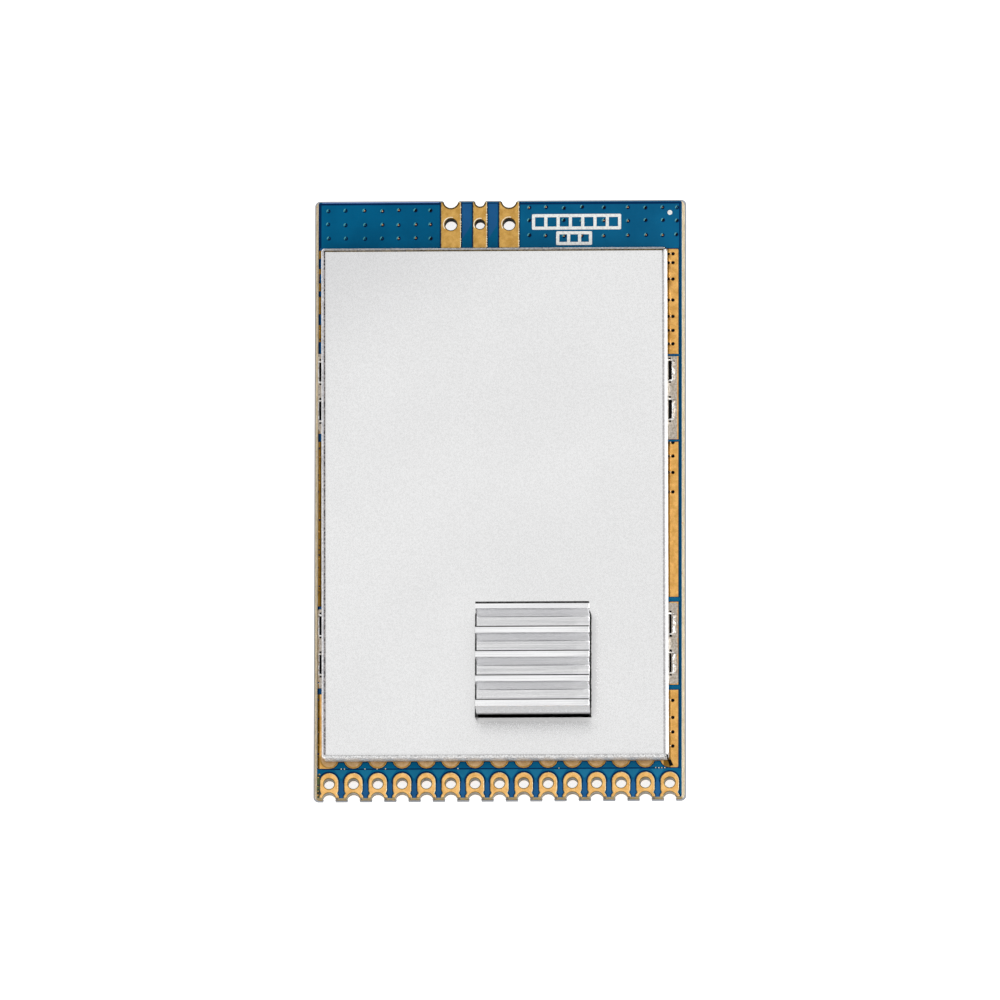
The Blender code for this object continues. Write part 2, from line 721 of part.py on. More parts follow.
def solder_profile(wall, outward, reach):
    """A concave fillet from the can's wall to a thin toe near the ring's edge."""
    inner = wall + outward * SEAT_GAP
    span = reach - SOLDER_EDGE_INSET - SEAT_GAP
    bottom = RING_TOP + SEAT_GAP
    toe = bottom + SOLDER_TOE
    curve = [
        (inner + outward * span * (1 - math.cos(angle)), toe + SOLDER_RISE * (1 - math.sin(angle)))
        for angle in (0.0, *bend_angles())
    ]
    return [(inner, bottom), *curve, (inner + outward * span, bottom)]


# Heatsink and adhesive

def heatsink_profile():
    """The extrusion's section: a base and tapered fins with filleted roots, as (y, z) points."""
    low = HEATSINK_BOTTOM
    floor = low + HEATSINK_BASE_THICKNESS
    tip = floor + FIN_HEIGHT
    half = HEATSINK_LENGTH / 2
    root = FIN_ROOT_THICKNESS / 2
    crest = FIN_TIP_THICKNESS / 2
    radius = FIN_FILLET_RADIUS
    profile = [(HEATSINK_Y - half, low), (HEATSINK_Y + half, low)]
    for index in reversed(range(FIN_COUNT)):
        y = HEATSINK_Y + (index - (FIN_COUNT - 1) / 2) * FIN_PITCH
        last = index == 0
        first = index == FIN_COUNT - 1
        if not first:
            profile += arc(y + root + radius, floor + radius, radius, 270, 180, SMALL_ARC_STEPS)
        profile += [(y + crest, tip), (y - crest, tip)]
        if not last:
            profile += arc(y - root - radius, floor + radius, radius, 360, 270, SMALL_ARC_STEPS)
    return profile


def heatsink():
    half = FIN_LENGTH / 2
    mesh = bar_along_x(heatsink_profile(), HEATSINK_X - half, HEATSINK_X + half)
    add_object("heatsink", smooth(mesh), PARTS, "aluminium")


def thermal_adhesive():
    """The layer under the heatsink, squeezed up into a thin collar round its base."""
    inner_x = FIN_LENGTH / 2 + SEAT_GAP
    inner_y = HEATSINK_LENGTH / 2 + SEAT_GAP
    outer_x = inner_x + ADHESIVE_COLLAR
    outer_y = inner_y + ADHESIVE_COLLAR
    top = HEATSINK_BOTTOM + ADHESIVE_RISE
    outline = rounded_rectangle(
        HEATSINK_X - outer_x,
        HEATSINK_X + outer_x,
        HEATSINK_Y - outer_y,
        HEATSINK_Y + outer_y,
        ADHESIVE_CORNER_RADIUS,
    )
    layer = add_object("thermal_adhesive", plate([outline], ADHESIVE_BOTTOM, top), PARTS, "black_adhesive")
    seat = boxes(
        (
            HEATSINK_X - inner_x,
            HEATSINK_X + inner_x,
            HEATSINK_Y - inner_y,
            HEATSINK_Y + inner_y,
            HEATSINK_BOTTOM - SEAT_GAP,
            top + OVERCUT,
        )
    )
    combine(layer, "DIFFERENCE", add_cutter("heatsink_seat", seat))


# Parts under the can

def block(size, bottom=0.0, inset=0.0):
    """Limits of a box centred on the origin, smaller by an inset on its four sides."""
    half_x = size[0] / 2 - inset
    half_y = size[1] / 2 - inset
    return (-half_x, half_x, -half_y, half_y, bottom, size[2])


def chip_mesh(size):
    """A moulded package with eased edges and a round mark at its first pin."""
    body = add_cutter("body", boxes(block(size)))
    ease = body.modifiers.new("ease", "BEVEL")
    ease.width = CHIP_EDGE
    ease.segments = 1
    mark_x = -size[0] / 2 + PIN_MARK_FROM_EDGE
    mark_y = size[1] / 2 - PIN_MARK_FROM_EDGE
    rod = (mark_x, mark_y, PIN_MARK_DIAMETER / 2, size[2] - PIN_MARK_DEPTH, size[2] + OVERCUT)
    cutter = add_cutter("mark", cylinders(rod, sides=MARK_SIDES))
    combine(body, "DIFFERENCE", cutter)
    return baked_mesh(body, cutter)


def lidded_mesh(size):
    """A ceramic base with a narrower metal lid."""
    base = add_cutter("base", boxes(block((size[0], size[1], size[2] - LID_HEIGHT))))
    lid = add_cutter("lid", boxes(block(size, size[2] / 2, LID_INSET)))
    combine(base, "UNION", lid)
    return baked_mesh(base, lid)


def chip_component_mesh(size):
    """A small body between two end terminals that cover it on all sides."""
    body = add_cutter("body", boxes(block(size, TERMINAL_COVER, TERMINAL_COVER)))
    body.data.transform(Matrix.Diagonal((1.0, 1.0, (size[2] - TERMINAL_COVER) / size[2], 1.0)))
    ends = []
    for side in (1, -1):
        outer = side * size[0] / 2
        inner = outer - side * TERMINAL_LENGTH
        limits = (min(outer, inner), max(outer, inner), -size[1] / 2, size[1] / 2, 0.0, size[2])
        ends.append(add_cutter("end", boxes(limits)))
    combine(body, "UNION", *ends)
    return baked_mesh(body, *ends)


def inductor_mesh(size):
    """A pressed block with eased edges on two flat end terminals."""
    body = add_cutter("body", boxes(block(size, TERMINAL_COVER)))
    ease = body.modifiers.new("ease", "BEVEL")
    ease.width = INDUCTOR_EDGE
    ease.segments = 1
    reach = size[0] / 2 + 2 * TERMINAL_COVER
    half = INDUCTOR_TERMINAL_WIDTH / 2
    terminals = add_cutter("terminals", boxes((-reach, reach, -half, half, 0.0, INDUCTOR_TERMINAL_HEIGHT)))
    combine(body, "UNION", terminals)
    return baked_mesh(body, terminals)


def place(name, mesh, finish, x, y):
    placed = add_object(name, mesh, PARTS, finish)
    placed.location = (x, y, PARTS_BOTTOM)


def row(count, pitch, middle):
    return [middle + (index - (count - 1) / 2) * pitch for index in range(count)]


def beside(first, second, clearance):
    """How far apart the centres of two neighbours lie, from their sides and the room between them."""
    return first / 2 + clearance + second / 2


def processing_parts():
    """The digital half, near the pad row: each part has its place from the chip under the heatsink."""
    wide, long, tall = BASEBAND_SIZE
    place("baseband_processor", chip_mesh(BASEBAND_SIZE), "moulded_black", HEATSINK_X, HEATSINK_Y)
    half_x = wide / 2 - THERMAL_PAD_INSET
    half_y = long / 2 - THERMAL_PAD_INSET
    square = rounded_rectangle(
        HEATSINK_X - half_x, HEATSINK_X + half_x, HEATSINK_Y - half_y, HEATSINK_Y + half_y, CORNER_RADIUS
    )
    pad = plate([square], PARTS_BOTTOM + tall + SEAT_GAP, CAN_INNER_TOP - SEAT_GAP)
    add_object("inner_thermal_pad", pad, PARTS, "thermal_pad")

    capacitor = chip_component_mesh(CAPACITOR_SIZE)
    capacitor_x = HEATSINK_X - beside(wide, CAPACITOR_SIZE[0], PASSIVE_CLEARANCE)
    for number, y in enumerate(row(4, CAPACITOR_PITCH, HEATSINK_Y), 1):
        place(f"chip_capacitor_{number}", capacitor, "ceramic", capacitor_x, y)

    left = capacitor_x - beside(CAPACITOR_SIZE[0], MICROCONTROLLER_SIZE[0], PASSIVE_CLEARANCE)
    place("microcontroller", chip_mesh(MICROCONTROLLER_SIZE), "moulded_black", left, HEATSINK_Y)
    crystal_y = HEATSINK_Y + beside(MICROCONTROLLER_SIZE[1], LIDDED_SIZE[1], CHIP_CLEARANCE)
    place("clock_crystal", lidded_mesh(LIDDED_SIZE), "lidded_ceramic", left, crystal_y)
    resistor = chip_component_mesh(RESISTOR_SIZE)
    resistor_y = HEATSINK_Y - beside(MICROCONTROLLER_SIZE[1], RESISTOR_SIZE[1], PASSIVE_CLEARANCE)
    for number, x in enumerate(row(4, RESISTOR_PITCH, left), 1):
        place(f"chip_resistor_{number}", resistor, "moulded_black", x, resistor_y)

    right = HEATSINK_X + beside(wide, REGULATOR_SIZE[0], CHIP_CLEARANCE)
    apart = beside(INDUCTOR_SIZE[1], REGULATOR_SIZE[1], CHIP_CLEARANCE)
    regulator = chip_mesh(REGULATOR_SIZE)
    place("power_inductor", inductor_mesh(INDUCTOR_SIZE), "ferrite", right, HEATSINK_Y)
    place("voltage_regulator_a", regulator, "moulded_black", right, HEATSINK_Y - apart)
    place("voltage_regulator_b", regulator, "moulded_black", right, HEATSINK_Y + apart)


def radio_parts():
    """The radio half, near the antenna edge: two transceivers, and the receive and transmit paths."""
    transceiver = chip_mesh(TRANSCEIVER_SIZE)
    lidded = lidded_mesh(LIDDED_SIZE)
    small = chip_mesh(SMALL_AMPLIFIER_SIZE)
    capacitor = chip_component_mesh(CAPACITOR_SIZE)
    middle = CAN_MIDDLE_X
    apart = beside(TRANSCEIVER_SIZE[0], LIDDED_SIZE[0], RADIO_CLEARANCE)
    left = middle - apart
    right = middle + apart
    y = CAN_ANTENNA_END - TRANSCEIVERS_FROM_ANTENNA_END
    place("transceiver_a", transceiver, "moulded_black", left, y)
    place("transceiver_b", transceiver, "moulded_black", right, y)
    place("reference_oscillator", lidded, "lidded_ceramic", middle, y)
    capacitor_apart = beside(LIDDED_SIZE[1], CAPACITOR_SIZE[1], CHIP_CLEARANCE)
    place("chip_capacitor_5", capacitor, "ceramic", middle, y - capacitor_apart)
    place("chip_capacitor_6", capacitor, "ceramic", middle, y + capacitor_apart)

    filter_y = y + beside(TRANSCEIVER_SIZE[1], LIDDED_SIZE[1], RADIO_CLEARANCE)
    place("saw_filter_a", lidded, "lidded_ceramic", left, filter_y)
    place("saw_filter_b", lidded, "lidded_ceramic", middle, filter_y)
    amplifier_y = filter_y + beside(LIDDED_SIZE[1], SMALL_AMPLIFIER_SIZE[1], CHIP_CLEARANCE)
    place("low_noise_amplifier", small, "moulded_black", left, amplifier_y)
    place("antenna_switch", small, "moulded_black", FEED_X, CAN_ANTENNA_END - SWITCH_FROM_ANTENNA_END)

    supply_y = y + beside(TRANSCEIVER_SIZE[1], CAPACITOR_SIZE[1], PASSIVE_CLEARANCE)
    power_apart = beside(CAPACITOR_SIZE[1], POWER_AMPLIFIER_SIZE[1], PASSIVE_CLEARANCE)
    place("chip_capacitor_7", capacitor, "ceramic", right, supply_y)
    place("power_amplifier", chip_mesh(POWER_AMPLIFIER_SIZE), "moulded_black", right, supply_y + power_apart)
    place("chip_capacitor_8", capacitor, "ceramic", right, supply_y + 2 * power_apart)


# Build

clear_scene()
PARTS = new_collection("radio_module")
CUTTERS = new_collection("cutters")
MATERIALS = {name: new_material(name) for name in FINISHES}

circuit_board()
solder_mask_top()
solder_mask_bottom()
shield_ground_ring()
castellated_pads()
antenna_pads()
shield_can()
solder_joints()
heatsink()
thermal_adhesive()
processing_parts()
radio_parts()
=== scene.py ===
"""Looks of the radio module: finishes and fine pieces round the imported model, floor, lights and camera.

Sizes are in millimetres and become metres when a piece is made. +Y is the antenna edge and +X the right side.
"""

import json
import math
import random

import bmesh
import bpy
from mathutils import Matrix, Vector, noise
from mathutils.geometry import delaunay_2d_cdt


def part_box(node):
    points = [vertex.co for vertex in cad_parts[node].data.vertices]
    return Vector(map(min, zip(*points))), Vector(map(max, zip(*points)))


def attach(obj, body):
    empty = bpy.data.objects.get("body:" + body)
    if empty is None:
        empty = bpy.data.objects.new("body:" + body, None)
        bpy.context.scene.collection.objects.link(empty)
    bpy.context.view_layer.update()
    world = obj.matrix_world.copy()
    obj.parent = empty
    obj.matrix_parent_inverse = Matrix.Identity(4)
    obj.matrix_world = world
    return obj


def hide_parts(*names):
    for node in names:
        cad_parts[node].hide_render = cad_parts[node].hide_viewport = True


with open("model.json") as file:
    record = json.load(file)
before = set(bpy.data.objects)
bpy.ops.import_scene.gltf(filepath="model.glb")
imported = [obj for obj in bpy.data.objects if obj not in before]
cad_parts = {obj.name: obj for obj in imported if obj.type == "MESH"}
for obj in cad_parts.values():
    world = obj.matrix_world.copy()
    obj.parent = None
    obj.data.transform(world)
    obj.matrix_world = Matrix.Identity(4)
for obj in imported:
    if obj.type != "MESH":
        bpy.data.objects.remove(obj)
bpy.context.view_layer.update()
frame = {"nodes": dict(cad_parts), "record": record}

MM = 0.001
BODY = "root"
MERGE_DISTANCE = 0.000001
WELD_DISTANCE = 0.0000002

# Board
BOARD_HALF_WIDTH = 15.2
BOARD_HALF_LENGTH = 25.0
SCORE_WIDTH = 0.21
MASK_HALF_WIDTH = BOARD_HALF_WIDTH - SCORE_WIDTH
BOARD_CORNER = 0.3

# Pads of the row
PAD_COUNT = 15
PAD_PITCH = 2.0
PAD_WIDTH = 1.5
PAD_FOOT = 1.6
PAD_WAIST = 1.32
PAD_LENGTH = 2.1
PAD_HOLE = 0.86
PAD_HOLE_FROM_EDGE = 1.2
PAD_NOTCH = (0.55, 0.45)
FOOT_FROM_EDGE = 0.16
WAIST_FROM_EDGE = 0.38
SHOULDER_FROM_EDGE = 0.62

# Antenna pads
ANTENNA_PITCH = 2.4
FEED_X = -1.67
ANTENNA_LENGTH = 3.88
ANTENNA_HOLE_FROM_EDGE = 1.9
ANTENNA_CORNER = 0.12
GROUND_WIDTH = 1.64
GROUND_HOLE = 0.98
GROUND_NOTCH = (0.60, 0.50)
FEED_WIDTH = 1.15
FEED_HOLE = 0.78
FEED_NOTCH = (0.39, 0.39)

# Plating and film
BARREL_WALL = 0.12
NOTCH_WALL = 0.05
LAND_THICKNESS = 0.06
LAND_DROP = 0.018
LAND_EDGE = 0.05
EASE_STEPS = 3
HOLE_RIM = 0.07
NOTCH_RIM = 0.13
NOTCH_MATCH = 0.02
MASK_LIP = (0.015, 0.075)
MASK_LIP_DROP = 0.045
MOAT_GROW = 0.08
MOAT_SLOPE = 0.05
MOAT_DEPTH = 0.022
CHIPPED_WIDTH = 0.24
CHIPPED_LENGTH = 2.0

# Ground ring: its outer limits, and the scallops behind the pads
RING_LEFT = -14.95
RING_RIGHT = 14.70
RING_TOP_Y = 20.96
RING_STRAIGHT_Y = -21.96
SCALLOP_Y = -21.75
SCALLOP_RADIUS = 0.78
RING_CORNER = 0.12
RING_THICKNESS = 0.035
RING_BAND = 1.6
RING_EASE = 0.012
RING_EASE_DROP = 0.008

# Can
CAN_BEND = 0.26
SHEET = 0.2
CAN_WALL = 1.6
LEG_REACH = 1.0
LEG_WIDTH = 1.3
LEG_CENTRES = (10.735, 7.465, -10.535, -13.805)
BEND_STEPS = 8
CREASE_LEFT = 0.06
CREASE_RIGHT = 0.16
CREASE_SOUTH = 0.06
CREASE_NORTH = 0.08
CREASE_DEPTH = 0.012
BEND_DEPTH = 0.008
BEND_DIP_STEPS = 3
CORNER_STEPS = 7
CREASE_POINTS = 3
CORNER_UPPER_ROWS = 2
SLIT_STEPS = 2
SLIT_START = 3
SLIT_END = 5
CAN_SKEW = 0.0036
WALL_STEP = 0.35
WALL_WAVE = 0.010
WAVE_SIZE = 0.7
WAVE_SHIFT = 0.4
CALM_REACH = 0.8

# Slots and solder beside the legs
SLOT_OUT = 0.27
SLOT_IN = 0.05
SLOT_END = 0.2
SLOT_CORNER = 0.18
SOLDER_PAIRS = (9.10, -12.17)
SOLDER_HALF = 3.3
SOLDER_STEP = 0.05
SOLDER_REACH_LEFT = 0.33
SOLDER_REACH_RIGHT = 0.74
# Painted shade in the leg slots: its bottom and its rise over the board's core
SLOT_SHADE_LOW = 1.0
SLOT_SHADE_RISE = 0.012

# Heatsink
FIN_COUNT = 5
FIN_PITCH = 2.03
FIN_TIP = 0.50
FIN_ROOT = 0.56
FIN_FILLET = 0.07
FILLET_STEPS = 5
FIN_CREST = 0.04
CREST_STEPS = 3
HEATSINK_BASE = 1.5
BASE_INSET = 0.08
BURR_REACH = 0.08
BURR_OVERLAP = 0.02
END_OVERLAP = 0.10
LOWER_BAND_HEIGHT = 1.85
LOWER_BAND_FADE = (-0.9, 0.45)
LOWER_BAND_RAGGED = 0.3
END_BEVEL = 0.08
END_DROP = 0.045
COLLAR_STEP = 0.07
# Painted light beside the heatsink: where it starts, how far it reaches, and its start past the left edge
HALO_FROM = 0.15
HALO_REACH = 0.75
HALO_START = (-0.1, 0.2)

# Roundness
HOLE_SIDES = 40
VIA_SIDES = 12
ROUND_STEPS = 5
DOME_SIDES = 8
DOME_RINGS = ((1.0, -0.2), (0.85, 0.5), (0.5, 0.9))


def box_mm(node):
    low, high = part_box(node)
    return low / MM, high / MM


MASK_LOW, MASK_HIGH = box_mm("solder_mask_top")
BOARD_TOP = MASK_HIGH.z
SKIN_BOTTOM = MASK_LOW.z
RING_TOP = box_mm("shield_ground_ring")[1].z
CAN_LOW, CAN_HIGH = box_mm("shield_can")
SINK_LOW, SINK_HIGH = box_mm("heatsink")
SINK_X = (SINK_LOW.x + SINK_HIGH.x) / 2
SINK_Y = (SINK_LOW.y + SINK_HIGH.y) / 2
SINK_HALF_X = (SINK_HIGH.x - SINK_LOW.x) / 2
SINK_HALF_Y = (SINK_HIGH.y - SINK_LOW.y) / 2
GLUE_LOW, GLUE_HIGH = box_mm("thermal_adhesive")


# Outlines

def arc(x, y, radius, start, end, steps):
    angles = [math.radians(start + (end - start) * step / steps) for step in range(steps + 1)]
    return [(x + radius * math.cos(angle), y + radius * math.sin(angle)) for angle in angles]


def circle(x, y, radius, sides=HOLE_SIDES):
    return arc(x, y, radius, 0, 360, sides)[:-1]


def rectangle(left, right, low, high):
    return [(left, low), (right, low), (right, high), (left, high)]


def rounded_rectangle(left, right, low, high, radius):
    outline = []
    for x, y, start in (
        (right - radius, high - radius, 0),
        (left + radius, high - radius, 90),
        (left + radius, low + radius, 180),
        (right - radius, low + radius, 270),
    ):
        outline += arc(x, y, radius, start, start + 90, ROUND_STEPS)
    return outline


def anticlockwise(outline):
    doubled_area = 0.0
    for (x, y), (next_x, next_y) in zip(outline, outline[1:] + outline[:1]):
        doubled_area += x * next_y - next_x * y
    return outline if doubled_area > 0 else outline[::-1]


def fill(outer, holes=(), bridges=(), regions=()):
    """Triangles inside the outer outline that no hole covers, unless a bridge does, and each one's region.

    A region's number is its place in the list plus one, and the last region that covers a triangle wins.
    """
    outlines = [outer, *holes, *bridges, *regions]
    rings = []
    points = []
    for outline in outlines:
        rings.append(list(range(len(points), len(points) + len(outline))))
        points += [Vector(point) for point in anticlockwise(outline)]
    corners, _, triangles, _, _, covers = delaunay_2d_cdt(points, [], rings, 1, MERGE_DISTANCE)
    first_bridge = 1 + len(holes)
    first_region = first_bridge + len(bridges)
    kept = []
    numbers = []
    for triangle, covering in zip(triangles, covers):
        in_hole = any(1 <= number < first_bridge for number in covering)
        on_bridge = any(first_bridge <= number < first_region for number in covering)
        if 0 not in covering or (in_hole and not on_bridge):
            continue
        kept.append(tuple(triangle))
        numbers.append(max(0, max(covering) - first_region + 1))
    return [(corner.x, corner.y) for corner in corners], kept, numbers


def rim_edges(faces):
    """The edges that only one of the faces has."""
    edges = [(face[corner - 1], face[corner]) for face in faces for corner in range(len(face))]
    known = set(edges)
    return [(here, there) for here, there in edges if (there, here) not in known]


def steps_between(low, high, step):
    count = max(1, round((high - low) / step))
    return [low + (high - low) * index / count for index in range(count + 1)]


def limited(value):
    return min(1.0, max(0.0, value))


# Shapes

class Shape:
    """Corners in millimetres and faces, with a finish number for each face."""

    def __init__(self):
        self.corners = []
        self.faces = []
        self.finishes = []

    def face(self, points, finish=0):
        start = len(self.corners)
        self.corners += points
        self.faces.append(tuple(range(start, start + len(points))))
        self.finishes.append(finish)

    def mesh_of(self, corners, faces, finishes):
        start = len(self.corners)
        self.corners += corners
        self.faces += [tuple(start + index for index in face) for face in faces]
        self.finishes += finishes

    def band(self, rows, closed=True, finish=0):
        """Quads between rows of as many points each. A list gives each column's finish."""
        width = len(rows[0])
        corners = [point for row in rows for point in row]
        faces = []
        marks = []
        last = width if closed else width - 1
        for row in range(len(rows) - 1):
            for column in range(last):
                after = (column + 1) % width
                here, there = row * width + column, row * width + after
                faces.append((here, there, there + width, here + width))
                marks.append(finish[column] if isinstance(finish, list) else finish)
        self.mesh_of(corners, faces, marks)

    def sheet(self, outer, height, low, holes=(), bridges=(), areas=(), side=0):
        """A closed sheet whose top follows a height function. Each area is an outline and its finish."""
        points, triangles, numbers = fill(outer, holes, bridges, [outline for outline, _ in areas])
        finishes = [0] + [finish for _, finish in areas]
        corners = [(x, y, height(x, y)) for x, y in points] + [(x, y, low) for x, y in points]
        under = len(points)
        rims = rim_edges(triangles)
        faces = list(triangles)
        faces += [tuple(under + index for index in reversed(triangle)) for triangle in triangles]
        faces += [(here + under, there + under, there, here) for here, there in rims]
        marks = [finishes[number] for number in numbers] + [side] * (len(triangles) + len(rims))
        self.mesh_of(corners, faces, marks)

    def slab(self, outline, low, high, finish=0):
        """A flat closed plate."""
        self.sheet(outline, lambda x, y: high, low, areas=[(outline, finish)], side=finish)

    def plate(self, outer, holes, low, high, edge_finish, rim_finish, areas=()):
        """A plate with eased edges. Outer and holes give an outline for an inset into the plate."""
        turns = [math.radians(90 * step / EASE_STEPS) for step in range(EASE_STEPS + 1)]
        for loop, width in [(outer, LAND_EDGE)] + [(hole, HOLE_RIM) for hole in holes]:
            levels = [(low, 0.0)]
            for turn in turns:
                levels.append((high - LAND_DROP * (1 - math.sin(turn)), width * (1 - math.cos(turn))))
            rows = [[(x, y, z) for x, y in anticlockwise(loop(inset))] for z, inset in levels]
            if loop is outer:
                marks = [edge_finish(x, y) for x, y, _ in rows[0]]
            else:
                marks = rim_finish
                rows.reverse()
            self.band(rows, finish=marks)
        for z, outer_inset, hole_inset, up in ((high, LAND_EDGE, HOLE_RIM, True), (low, 0.0, 0.0, False)):
            cut = [hole(hole_inset) for hole in holes]
            points, triangles, numbers = fill(outer(outer_inset), cut, regions=areas if up else ())
            if not up:
                triangles = [tuple(reversed(triangle)) for triangle in triangles]
            marks = [rim_finish if number else 0 for number in numbers]
            self.mesh_of([(x, y, z) for x, y in points], triangles, marks)

    def dome(self, x, y, z, radius, height, finish=0):
        """A low bead on a surface."""
        rows = []
        for share, rise in DOME_RINGS:
            rows.append([(px, py, z + height * rise) for px, py in circle(x, y, radius * share, DOME_SIDES)])
        self.band(rows, finish=finish)
        self.face(rows[-1], finish)
        self.face(rows[0][::-1], finish)

    def tube(self, x, y, inner, outer, low, high, start=0.0, end=360.0, steps=HOLE_SIDES, finish=0):
        """An upright tube, or part of one with closed ends."""
        closed = end - start >= 360
        loops = []
        for radius, z in ((inner, low), (outer, low), (outer, high), (inner, high), (inner, low)):
            points = arc(x, y, radius, start, end, steps)
            loops.append([(px, py, z) for px, py in (points[:-1] if closed else points)])
        self.band(loops, closed=closed, finish=finish)
        if not closed:
            self.face([loop[0] for loop in loops[:4]][::-1], finish)
            self.face([loop[-1] for loop in loops[:4]], finish)

    def extrusion(self, profile, stations, marks):
        """A closed profile carried through stations. Each station maps a profile point to a place."""
        rows = [[station(u, v) for u, v in profile] for station in stations]
        self.band(rows, finish=marks)
        points, triangles, _ = fill(profile)
        start, end = stations[0], stations[-1]
        self.mesh_of([start(u, v) for u, v in points], [t[::-1] for t in triangles], [0] * len(triangles))
        self.mesh_of([end(u, v) for u, v in points], triangles, [0] * len(triangles))


def add_piece(name, shape, finishes, replaced=(), smooth=35.0, outward=True):
    """Makes a piece of a shape, welded and shaded smooth between faces that meet at less than an angle."""
    mesh = bpy.data.meshes.new(name)
    mesh.from_pydata([(x * MM, y * MM, z * MM) for x, y, z in shape.corners], [], shape.faces)
    mesh.polygons.foreach_set("material_index", shape.finishes)
    work = bmesh.new()
    work.from_mesh(mesh)
    bmesh.ops.remove_doubles(work, verts=work.verts, dist=WELD_DISTANCE)
    bmesh.ops.dissolve_degenerate(work, edges=work.edges, dist=WELD_DISTANCE)
    bmesh.ops.delete(work, geom=[corner for corner in work.verts if not corner.link_faces], context="VERTS")
    if outward:
        bmesh.ops.recalc_face_normals(work, faces=work.faces)
    work.to_mesh(mesh)
    work.free()
    mesh.shade_smooth()
    mesh.set_sharp_from_angle(angle=math.radians(smooth))
    for finish in finishes:
        mesh.materials.append(finish)
    piece = bpy.data.objects.new(name, mesh)
    bpy.context.scene.collection.objects.link(piece)
    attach(piece, BODY)
    if replaced:
        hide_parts(*replaced)
    return piece


def ripple(x, y, z=0.0, size=1.0):
    """Smooth noise from -1 to 1, with features of about the given size."""
    return noise.noise(Vector((x / size, y / size, z / size)))


# Finishes

MASK_DRIFT = 12.0
SHADE_SLANT = 0.55
SHADE_SPAN = (0.5, 14.0)
SHADE_MOST = 0.55


class Finish:
    """A material's node tree, with short ways to add what the finishes share."""

    def __init__(self, name, roughness=0.5, metallic=0.0, specular=0.5):
        self.material = bpy.data.materials.new(name)
        self.material.use_nodes = True
        self.tree = self.material.node_tree
        self.shader = self.tree.nodes["Principled BSDF"]
        self.shader.inputs["Roughness"].default_value = roughness
        self.shader.inputs["Metallic"].default_value = metallic
        self.shader.inputs["Specular IOR Level"].default_value = specular
        place = self.node("ShaderNodeTexCoord").outputs["Object"]
        self.place = self.vector("SCALE", place, scale=1 / MM)

    def node(self, kind, **settings):
        made = self.tree.nodes.new(kind)
        for name, value in settings.items():
            setattr(made, name, value)
        return made

    def link(self, source, target):
        if isinstance(source, bpy.types.NodeSocket):
            self.tree.links.new(source, target)
        else:
            target.default_value = source

    def vector(self, operation, first, second=None, scale=None):
        made = self.node("ShaderNodeVectorMath", operation=operation)
        self.link(first, made.inputs[0])
        if second is not None:
            self.link(second, made.inputs[1])
        if scale is not None:
            made.inputs["Scale"].default_value = scale
        return made.outputs["Vector"]

    def math(self, operation, first, second=0.0):
        made = self.node("ShaderNodeMath", operation=operation)
        self.link(first, made.inputs[0])
        self.link(second, made.inputs[1])
        return made.outputs["Value"]

    def length(self, across, along):
        squares = self.math("ADD", self.math("MULTIPLY", across, across), self.math("MULTIPLY", along, along))
        return self.math("SQRT", squares)

    def part(self, source, name):
        made = self.node("ShaderNodeSeparateXYZ")
        self.link(source, made.inputs[0])
        return made.outputs[name]

    def axis(self, name):
        return self.part(self.place, name)

    def facing(self, name):
        """The share of the surface's own direction along an axis."""
        return self.part(self.node("ShaderNodeNewGeometry").outputs["Normal"], name)

    def beyond(self, name, middle, half):
        """How far a place lies outside a span along an axis, and zero inside it."""
        from_middle = self.math("ABSOLUTE", self.math("SUBTRACT", self.axis(name), middle))
        return self.math("MAXIMUM", self.math("SUBTRACT", from_middle, half), 0.0)

    def noise(self, per_mm, detail=2.0, roughness=0.5, stretch=None):
        made = self.node("ShaderNodeTexNoise")
        made.inputs["Scale"].default_value = per_mm
        made.inputs["Detail"].default_value = detail
        made.inputs["Roughness"].default_value = roughness
        source = self.vector("MULTIPLY", self.place, stretch) if stretch else self.place
        self.link(source, made.inputs["Vector"])
        return made.outputs["Fac"]

    def range(self, value, low, high, to_low=0.0, to_high=1.0):
        made = self.node("ShaderNodeMapRange", interpolation_type="SMOOTHSTEP")
        self.link(value, made.inputs["Value"])
        for name, number in (("From Min", low), ("From Max", high), ("To Min", to_low), ("To Max", to_high)):
            made.inputs[name].default_value = number
        return made.outputs["Result"]

    def mix(self, share, first, second, blend="MIX"):
        made = self.node("ShaderNodeMix", data_type="RGBA", blend_type=blend)
        self.link(share, made.inputs["Factor"])
        for value, socket in ((first, made.inputs["A"]), (second, made.inputs["B"])):
            self.link((*value, 1.0) if isinstance(value, tuple) else value, socket)
        return made.outputs["Result"]

    def tint(self, colour, factor):
        return self.mix(1.0, colour, factor, "MULTIPLY")

    def colour(self, source):
        self.link(source, self.shader.inputs["Base Color"])

    def roughness(self, value, low, high):
        self.link(self.range(value, 0.3, 0.7, low, high), self.shader.inputs["Roughness"])

    def bump(self, height, depth_mm):
        made = self.node("ShaderNodeBump")
        made.inputs["Distance"].default_value = depth_mm * MM
        self.link(height, made.inputs["Height"])
        self.link(made.outputs["Normal"], self.shader.inputs["Normal"])


def mask_finish(name, left, right, roughness=0.28):
    """The blue film: its tone drifts from the left side to the right, with faint clouds and orange peel."""
    made = Finish(name, roughness=roughness, specular=0.02)
    base = made.mix(made.range(made.axis("X"), -MASK_DRIFT, MASK_DRIFT), left, right)
    clouds = made.range(made.noise(0.35, 3.0), 0.35, 0.68)
    toned = made.mix(clouds, made.tint(base, (0.80, 0.84, 0.86)), base)
    specks = made.range(made.noise(9.0, 1.0), 0.62, 0.80, 0.0, 0.25)
    made.colour(made.mix(specks, toned, made.tint(toned, (1.5, 1.35, 1.25))))
    made.roughness(made.noise(2.0, 3.0), roughness - 0.06, roughness + 0.10)
    made.bump(made.noise(5.0, 2.0), 0.004)
    return made.material


